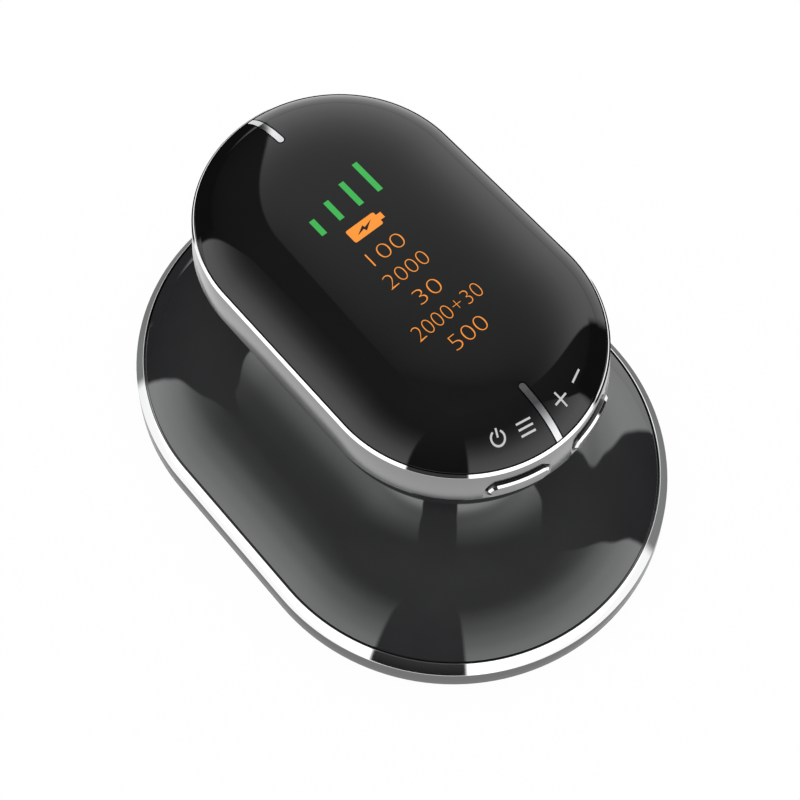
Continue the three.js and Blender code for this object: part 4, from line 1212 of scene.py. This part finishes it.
class DEVICE_OT_tray(bpy.types.Operator):
    """Model the underside of the handle"""

    bl_idname = "device.tray"
    bl_label = "Handle tray"

    def execute(self, context):
        base, handle = context.scene.device_base, context.scene.device_handle
        foot = base.waist_height + handle.fit
        top = handle.band_foot - handle.fit
        start, end = (base.waist_radius, foot), (handle.radius - handle.tray_inset, top)
        outer = curve_between(start, end, TRAY_SHARES, 40)
        inner = offset_line(curve_between(start, end, TRAY_SHARES, 18), handle.tray_wall)
        over = foot + base.neck_flange
        ledge = handle.band_bore + handle.band_round - handle.tray_ledge
        shelf = top - handle.tray_shelf
        kept = [p for p in inner if over < p[1] < shelf and p[0] < ledge]
        profile = [
            (base.neck_opening, foot),
            *outer,
            (ledge, top),
            (ledge, shelf),
            *reversed(kept),
            (base.waist_radius - handle.tray_wall, over),
            (base.neck_opening, over),
        ]
        tray = stadium("tray", profile, handle.half)
        hand_over(tray, "graphite_shell", "graphite_shell", "handle_tray")
        return {"FINISHED"}


class DEVICE_OT_band(bpy.types.Operator):
    """Model the chromed band with its key slots and its charging port"""

    bl_idname = "device.band"
    bl_label = "Handle band"

    def execute(self, context):
        handle = context.scene.device_handle
        low, high = handle.band_foot, handle.band_foot + handle.band_height
        shoulder = shoulder_height(handle)
        wall_top = (band_radius(handle, shoulder), shoulder)
        lip_top = (lip_radius(handle), high + handle.lip_rise)
        ledge = high - handle.ledge_depth
        bore = handle.band_bore
        wider = bore + handle.band_round + handle.fit
        foot_centre = (handle.radius - handle.band_round, low + handle.band_round)
        profile = [
            (wider, low),
            *arc(foot_centre, handle.band_round, -90, 0, 4),
            *rounded(wall_top, (handle.radius, low), lip_top, handle.lip_round),
            lip_top,
            (lip_top[0], ledge),
            (bore - handle.ledge_reach, ledge),
            (bore - handle.ledge_reach, ledge - handle.ledge_thickness),
            (bore, ledge - handle.ledge_thickness),
            (bore, low + handle.band_step),
            (wider, low + handle.band_step),
        ]
        band = stadium("band", profile, handle.half)
        for side in (1, -1):
            boolean(band, at_key(slot_cutter("slot"), side))
        gap = 2 * handle.key_gap
        port = end_prism(
            "port", handle.socket_length + gap, handle.socket_rise + gap, bore - OVERRUN,
            handle.radius + OVERRUN,
        )
        smooth(boolean(band, port), BAND_SMOOTH_ANGLE)
        hand_over(band, "chrome_trim", "band_chrome", "handle_band")
        return {"FINISHED"}


class DEVICE_OT_cover(bpy.types.Operator):
    """Model the domed cover and the two silver strips let into it"""

    bl_idname = "device.cover"
    bl_label = "Cover and strips"

    def execute(self, context):
        handle = context.scene.device_handle
        edge, foot = cover_radius(handle), cover_foot(handle)
        outer = dome_line(handle, 40)
        softened = rounded(outer[0], (edge, foot), outer[2], handle.cover_round)
        outer = [p for p in outer[1:] if p[0] < softened[-1][0] - MERGE]
        inner = offset_line(dome_line(handle, 14), handle.cover_wall)
        skirt = edge - handle.cover_wall
        kept = [p for p in inner if handle.cover_gap < p[0] < skirt - handle.fit]
        profile = [
            (0.0, handle.height - handle.cover_wall),
            *reversed(kept),
            (skirt, foot),
            (edge, foot),
            *softened,
            *outer,
        ]
        cover = stadium("cover", profile, handle.half, closed=False)
        thickness = handle.strip_thickness
        for side, name, node in ((1, "near", "front_inlay"), (-1, "far", "rear_inlay")):
            groove = self.strip_prism(handle, f"{name}_groove", side, handle.strip_gap)
            boolean(groove, dome_body(handle, "floor", thickness + handle.fit))
            boolean(cover, groove)
            strip = self.strip_prism(handle, f"{name}_strip", side, 0.0)
            boolean(strip, dome_body(handle, "dome", 0.0), "INTERSECT")
            smooth(boolean(strip, dome_body(handle, "seat", thickness)))
            hand_over(strip, "satin_silver", "satin_silver", node)
        hand_over(smooth(cover), "glossy_black", "glossy_black", "top_panel")
        return {"FINISHED"}

    def strip_prism(self, handle, name, side, grow):
        """Upright prism of a strip's outline, from its round inner end past the edge."""
        inner = handle.half + cover_radius(handle) - handle.strip_length - grow
        outer = handle.half + handle.radius + STRIP_OVERRUN
        obj = pill(name, outer - inner, handle.strip_width + 2 * grow)
        placed(obj, 0.0, (side * (inner + outer) / 2, 0, 0))
        low = cover_foot(handle) + handle.strip_thickness - grow
        return smooth(prism(obj, low, handle.height + OVERRUN))


class DEVICE_OT_marks(bpy.types.Operator):
    """Model the lit figures and bars and the key signs on the cover"""

    bl_idname = "device.marks"
    bl_label = "Marks on the cover"

    def execute(self, context):
        sizes = context.scene.device_marks
        marks = {
            "figures": ("lit_orange", [self.figure(sizes, *row) for row in FIGURES]),
            "level_bars": ("lit_green", [self.level_bar(sizes, *row) for row in LEVEL_BARS]),
            "battery_sign": ("lit_orange", [self.battery(sizes)]),
            "key_signs": ("sign_silver", self.signs(sizes, context.scene.device_handle.half)),
        }
        for name, (look, pieces) in marks.items():
            hand_over(on_cover(joined(name, pieces), sizes.proud), "glossy_black", look)
        return {"FINISHED"}

    def figure(self, sizes, text, place, length):
        """Flat number that reads along Y."""
        bpy.ops.object.select_all(action="DESELECT")
        bpy.ops.object.text_add()
        obj = bpy.context.object
        obj.data.body = text
        obj.data.size = sizes.figure_height * FONT_SIZE
        obj.data.resolution_u = 6
        obj.data.offset = -sizes.figure_thinning
        bpy.ops.object.convert(target="MESH")
        obj = named("figure")
        spans = [[v.co[axis] for v in obj.data.vertices] for axis in (0, 1)]
        (left, low), (right, high) = [min(s) for s in spans], [max(s) for s in spans]
        edit(obj)
        shift((-(left + right) / 2, -(low + high) / 2, 0))
        stretch((length * MM / (right - left), sizes.figure_height / (high - low), 1))
        done()
        return placed(obj, math.pi / 2, (place * MM, FIGURE_OFFSET, 0))

    def level_bar(self, sizes, y, low, high):
        obj = flat_bar("level_bar", (high - low) * MM, sizes.bar_width)
        return placed(obj, 0.0, ((low + high) / 2 * MM, y * MM, 0))

    def battery(self, sizes):
        """Flat battery with a bolt cut through it, its tip towards +Y."""
        body = flat_bar("battery", sizes.battery_length, sizes.battery_width, 1)
        edit(body)
        bpy.ops.mesh.bevel(offset=sizes.battery_round, segments=4, affect="VERTICES")
        done()
        thickness = MM
        prism(body, 0.0, thickness)
        tip = flat_bar("tip", sizes.tip_length * 2, sizes.tip_width, 1)
        placed(tip, 0.0, (sizes.battery_length / 2, 0, 0))
        boolean(body, prism(tip, 0.0, thickness), "UNION")
        bolt = line("bolt", [(x * MM, y * MM, -OVERRUN) for x, y in (*BOLT, BOLT[0])])
        bpy.ops.mesh.remove_doubles(threshold=MERGE)
        bpy.ops.mesh.edge_face_add()
        done()
        boolean(body, prism(bolt, 0.0, thickness + 2 * OVERRUN))
        edit(body)
        pick("faces", lambda face: face.calc_center_median().z < thickness - MERGE)
        bpy.ops.mesh.delete(type="FACE")
        bpy.ops.mesh.select_all(action="SELECT")
        shift((0, 0, -thickness))
        done()
        return placed(body, math.pi / 2, (sizes.battery_x, sizes.battery_y, 0))

    def signs(self, sizes, half):
        """Power and mode signs over one key, plus and minus signs over the other."""
        rows = (
            (-sizes.outer_turn, self.power(sizes)),
            (-sizes.inner_turn, self.mode(sizes)),
            (sizes.inner_turn, self.plus(sizes)),
            (sizes.outer_turn, self.minus(sizes)),
        )
        for angle, obj in rows:
            placed(placed(obj, 0.0, (sizes.sign_reach, 0, 0)), angle, (half, 0, 0))
        return [obj for angle, obj in rows]

    def power(self, sizes):
        """Open ring with a stem in its gap, which faces -X."""
        outer, stroke = sizes.power_radius, sizes.sign_stroke
        ring = line("power", [(outer, 0, 0), (outer - stroke, 0, 0)])
        rotate(math.pi + sizes.power_gap / 2)
        spread = 2 * math.pi - sizes.power_gap
        bpy.ops.mesh.spin(steps=48, angle=spread, center=(0, 0, 0), axis=(0, 0, -1))
        done()
        stem = flat_bar("stem", outer * STEM_LENGTH, stroke, 5)
        return joined("power", [ring, placed(stem, 0.0, (-outer * STEM_PLACE, 0, 0))])

    def mode(self, sizes):
        """Three short bars across the sign."""
        bars = [self.minus(sizes, k * sizes.mode_pitch) for k in (-1, 0, 1)]
        return joined("mode", bars)

    def plus(self, sizes):
        """Four arms that grow out of a square in four steps each."""
        stroke, steps = sizes.sign_stroke, 4
        step = (sizes.plus_size - stroke) / 2 / steps
        obj = flat_bar("plus", stroke, stroke, 1)
        edit(obj)
        for x, y in ((1, 0), (-1, 0), (0, 1), (0, -1)):
            middle = Vector((x * stroke / 2, y * stroke / 2, 0))
            pick("edges", lambda e: ((e.verts[0].co + e.verts[1].co) / 2 - middle).length < MERGE)
            for _ in range(steps):
                extrude(bpy.ops.mesh.extrude_region_move, (x * step, y * step, 0))
        done()
        return obj

    def minus(self, sizes, place=0.0):
        """Short bar across the sign."""
        obj = flat_bar("minus", sizes.minus_size, sizes.sign_stroke, 6)
        return placed(obj, math.pi / 2, (place, 0, 0))


class DEVICE_OT_keys(bpy.types.Operator):
    """Model the two rocker keys"""

    bl_idname = "device.keys"
    bl_label = "Rocker keys"

    def execute(self, context):
        key = self.key(context.scene.device_handle)
        for side, name in ((-1, "mode"), (1, "level")):
            own = smooth(at_key(copied(key, f"{name}_rocker_key"), side))
            hand_over(own, "chrome_trim", "key_chrome", f"{name}_key", body=f"{name}_rocker")
        deleted(key)
        return {"FINISHED"}

    def key(self, handle):
        """Rocker key round the arc centre, facing -Y: a bar on a wider flange with a pin hole."""
        radius = band_radius(handle, handle.key_height)
        front = handle.band_bore - handle.flange_gap
        back = front - handle.flange_thickness
        pin = front - handle.pin_setback
        bar = bent_bar(
            "key", handle.key_length, handle.key_rise, handle.key_proud, radius - pin,
            handle.key_chamfer,
        )
        bend_to_band(bar, handle.key_length)
        height = handle.flange_rise
        flange = block(
            "flange", (0, -(front + back) / 2 - OVERRUN / 2, 0),
            (handle.flange_length, front - back + OVERRUN, height),
        )
        boolean(flange, drum("round", front, height * 2, (0, 0, 0), 192), "INTERSECT")
        boolean(bar, flange, "UNION")
        return boolean(bar, drum("hole", handle.pin_hole, height * 2, (0, -pin, 0), 32))


class DEVICE_OT_socket(bpy.types.Operator):
    """Model the charging socket in the far end of the band"""

    bl_idname = "device.socket"
    bl_label = "Charging socket"

    def execute(self, context):
        handle = context.scene.device_handle
        mouth = band_radius(handle, handle.key_height) - handle.socket_recess
        foot = mouth - handle.socket_depth
        wall = handle.socket_wall
        shell = end_prism("socket", handle.socket_length, handle.socket_rise, foot, mouth)
        hollow = end_prism(
            "hollow", handle.socket_length - 2 * wall, handle.socket_rise - 2 * wall,
            foot + handle.socket_back, mouth + OVERRUN,
        )
        boolean(shell, hollow)
        near, far = foot + wall, mouth - handle.socket_recess
        tongue = block(
            "tongue", (-handle.half - (near + far) / 2, 0, handle.key_height),
            (far - near, handle.tongue_length, handle.tongue_rise),
        )
        smooth(boolean(shell, tongue, "UNION"))
        hand_over(shell, "steel", "steel", "charging_socket")
        return {"FINISHED"}


class DEVICE_OT_treatment_face(bpy.types.Operator):
    """Model the base plate, its window and the electrodes"""

    bl_idname = "device.treatment_face"
    bl_label = "Treatment face"

    def execute(self, context):
        base = context.scene.device_base
        low, high = base.foot, base.foot + base.plate_thickness
        metal = "stainless_electrode"
        edge = base.radius - base.ring_wall - base.foot_round - base.ring_lip - base.gap
        inner = base.window_radius + base.hole_gap
        profile = [(inner, low), (edge, low), (edge, high), (inner, high)]
        plate = stadium("plate", profile, base.half)
        for side, name in ((1, "front"), (-1, "rear")):
            boolean(plate, self.crescent(base, "recess", side, base.hole_gap))
            electrode = self.crescent(base, f"{name}_crescent", side, 0.0)
            hand_over(electrode, metal, metal, f"{name}_ems_electrode")
        hand_over(plate, "black_plastic", "black_plastic", "base_plate")
        edge = base.window_radius
        profile = [(0.0, low), (edge, low), (edge, high), (0.0, high)]
        window = stadium("window", profile, base.half, closed=False)
        for k in range(4):
            place = (k - 1.5) * base.rf_pitch
            boolean(window, self.button(base, "bore", place, base.hole_gap))
            button = self.button(base, f"rf_button_{k + 1}", place, 0.0)
            hand_over(button, metal, metal, f"rf_electrode_{k + 1}")
        hand_over(smooth(window), "frosted_plastic", "frosted_plastic", "led_window")
        return {"FINISHED"}

    def crescent(self, base, name, side, grow):
        """Crescent electrode round one end of the base, or the cutter of its recess."""
        near = base.ems_inner - grow
        far = base.ems_inner + base.ems_width + grow
        top = base.ems_thickness + grow
        edge = base.ems_edge
        spread = base.ems_spread + 2 * grow / (near + far) * 2
        profile = [
            *arc((near + edge, edge), edge, 180, 270, 4),
            *arc((far - edge, edge), edge, 270, 360, 4),
            (far, top),
            (near, top),
        ]
        points = [(r, 0.0, z) for r, z in profile]
        obj = line(name, [*points, points[0]])
        bpy.ops.mesh.remove_doubles(threshold=MERGE / 4)
        rotate(-spread / 2)
        bpy.ops.mesh.spin(steps=56, angle=spread, center=(0, 0, 0), axis=(0, 0, -1))
        bpy.ops.mesh.select_all(action="SELECT")
        bpy.ops.mesh.fill_holes(sides=0)
        done()
        return placed(smooth(obj), 0.0 if side > 0 else math.pi, (side * base.half, 0, 0))

    def button(self, base, name, place, grow):
        """Domed round electrode, or the cutter of its hole."""
        radius, top = base.rf_radius + grow, base.rf_thickness + grow
        dome = [(u * radius, v * base.rf_thickness) for u, v in RF_SHARES]
        obj = line(name, [(r, 0.0, z) for r, z in (*dome, (radius, top), (0.0, top))])
        bpy.ops.mesh.spin(steps=64, angle=2 * math.pi, center=(0, 0, 0), axis=(0, 0, 1))
        bpy.ops.mesh.select_all(action="SELECT")
        bpy.ops.mesh.remove_doubles(threshold=MERGE / 2)
        done()
        return placed(smooth(obj), 0.0, (place, 0, 0))


class DEVICE_OT_inner_finishes(bpy.types.Operator):
    """Give every CAD piece the finish of its material slot"""

    bl_idname = "device.inner_finishes"
    bl_label = "Inner finishes"

    def execute(self, context):
        for part in frame["record"]["subparts"]:
            slot = part["material_slot"]
            coat(bpy.data.objects[part["node"]], SLOT_FINISHES.get(slot, slot))
        return {"FINISHED"}


class DEVICE_OT_stage(bpy.types.Operator):
    """Set up the floor, the studio light and the camera"""

    bl_idname = "device.stage"
    bl_label = "Stage"

    def execute(self, context):
        self.floor(context)
        self.world(context)
        self.camera(context)
        context.scene.view_settings.view_transform = "Standard"
        return {"FINISHED"}

    def floor(self, context):
        """Pale floor that shows white to the camera and keeps a faint shadow."""
        floor = added("floor", bpy.ops.mesh.primitive_plane_add, size=FLOOR_SIZE)
        material = bpy.data.materials.new("floor")
        tree = blank_tree(material)
        place = add_node(tree, "ShaderNodeTexCoord", output="Object")
        cloud = place.node("ShaderNodeTexNoise", {"Vector": place, "Scale": 4.0})
        pale = cloud.mottled(context.scene.device_colours.floor, 0.995, 1.0)
        matt = place.node("ShaderNodeBsdfDiffuse", {"Color": pale})
        glow = place.node("ShaderNodeEmission", {"Color": shade(1.0), "Strength": 1.0})
        mixed = place.node("ShaderNodeMixShader", {0: FLOOR_GLOW, 1: matt, 2: glow})
        add_node(tree, "ShaderNodeOutputMaterial", {"Surface": mixed})
        floor.data.materials.append(material)

    def world(self, context):
        """Studio of three large soft panels, seen only in reflections."""
        world = bpy.data.worlds.new("studio")
        context.scene.world = world
        tree = blank_tree(world)
        way = add_node(tree, "ShaderNodeTexCoord", output="Generated")
        way = way.node("ShaderNodeVectorMath", {0: way}, operation="NORMALIZE")
        east, north, up = [way.part(axis) for axis in range(3)]
        rise = up.join("ARCSINE", up).degrees()
        bearing = north.join("ARCTAN2", north, east).degrees()
        near_span = (NEAR_SIDE, rise.ramp(*NEAR_SLANT, "LINEAR"))
        studio = rise.ramp(0.0, 90.0, *FILL, "LINEAR")
        for span, stops in ((WIDE_SPAN, WIDE_PANEL), (near_span, LOW_PANEL), (LOW_SPAN, LOW_PANEL)):
            studio = studio + bearing.between(*span, PANEL_SOFTNESS) * self.falloff(rise, stops)
        seen = add_node(tree, "ShaderNodeLightPath", output="Is Glossy Ray")
        light = {"Color": shade(1.0), "Strength": seen * studio + (1.0 - seen)}
        glow = way.node("ShaderNodeBackground", light)
        add_node(tree, "ShaderNodeOutputWorld", {"Surface": glow})

    def falloff(self, rise, stops):
        """Radiance that changes straight from stop to stop, from none at the first."""
        return sum(
            rise.ramp(low, high, 0.0, last - first, "LINEAR")
            for (low, first), (high, last) in zip(stops, stops[1:])
        )

    def camera(self, context):
        """Camera that sees the device as the photograph does."""
        turn_to = [math.radians(angle) for angle in CAMERA_TURN]
        bpy.ops.object.camera_add(location=CAMERA_PLACE, rotation=turn_to)
        camera = context.object
        camera.name = "camera"
        camera.data.lens = LENS
        camera.data.sensor_width = SENSOR
        context.scene.camera = camera


class DEVICE_PT_panel(bpy.types.Panel):
    """Sizes, colours and steps of the device"""

    bl_idname = "DEVICE_PT_panel"
    bl_label = "Microcurrent Device"
    bl_space_type = "VIEW_3D"
    bl_region_type = "UI"
    bl_category = "Device"

    def draw(self, context):
        for name, (title, kind) in GROUPS.items():
            box = self.layout.box()
            box.label(text=title)
            for key in kind.__annotations__:
                box.prop(getattr(context.scene, name), key)
        for step in STEPS:
            self.layout.operator(step.bl_idname)


STEPS = (
    DEVICE_OT_ring, DEVICE_OT_dish, DEVICE_OT_tray, DEVICE_OT_band, DEVICE_OT_cover,
    DEVICE_OT_marks, DEVICE_OT_keys, DEVICE_OT_socket, DEVICE_OT_treatment_face,
    DEVICE_OT_inner_finishes, DEVICE_OT_stage,
)
GROUPS = {
    "device_base": ("Base", DeviceBaseSizes),
    "device_handle": ("Handle", DeviceHandleSizes),
    "device_marks": ("Marks", DeviceMarkSizes),
    "device_colours": ("Colours", DeviceColours),
}
CLASSES = (*(kind for _, kind in GROUPS.values()), *STEPS, DEVICE_PT_panel)


def register():
    for cls in CLASSES:
        bpy.utils.register_class(cls)
    for name, (_, kind) in GROUPS.items():
        setattr(bpy.types.Scene, name, bpy.props.PointerProperty(type=kind))


def unregister():
    for name in GROUPS:
        delattr(bpy.types.Scene, name)
    for cls in reversed(CLASSES):
        bpy.utils.unregister_class(cls)


def main():
    register()
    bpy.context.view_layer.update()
    for step in STEPS:
        space, name = step.bl_idname.split(".")
        getattr(getattr(bpy.ops, space), name)()


if __name__ == "__main__":
    main()
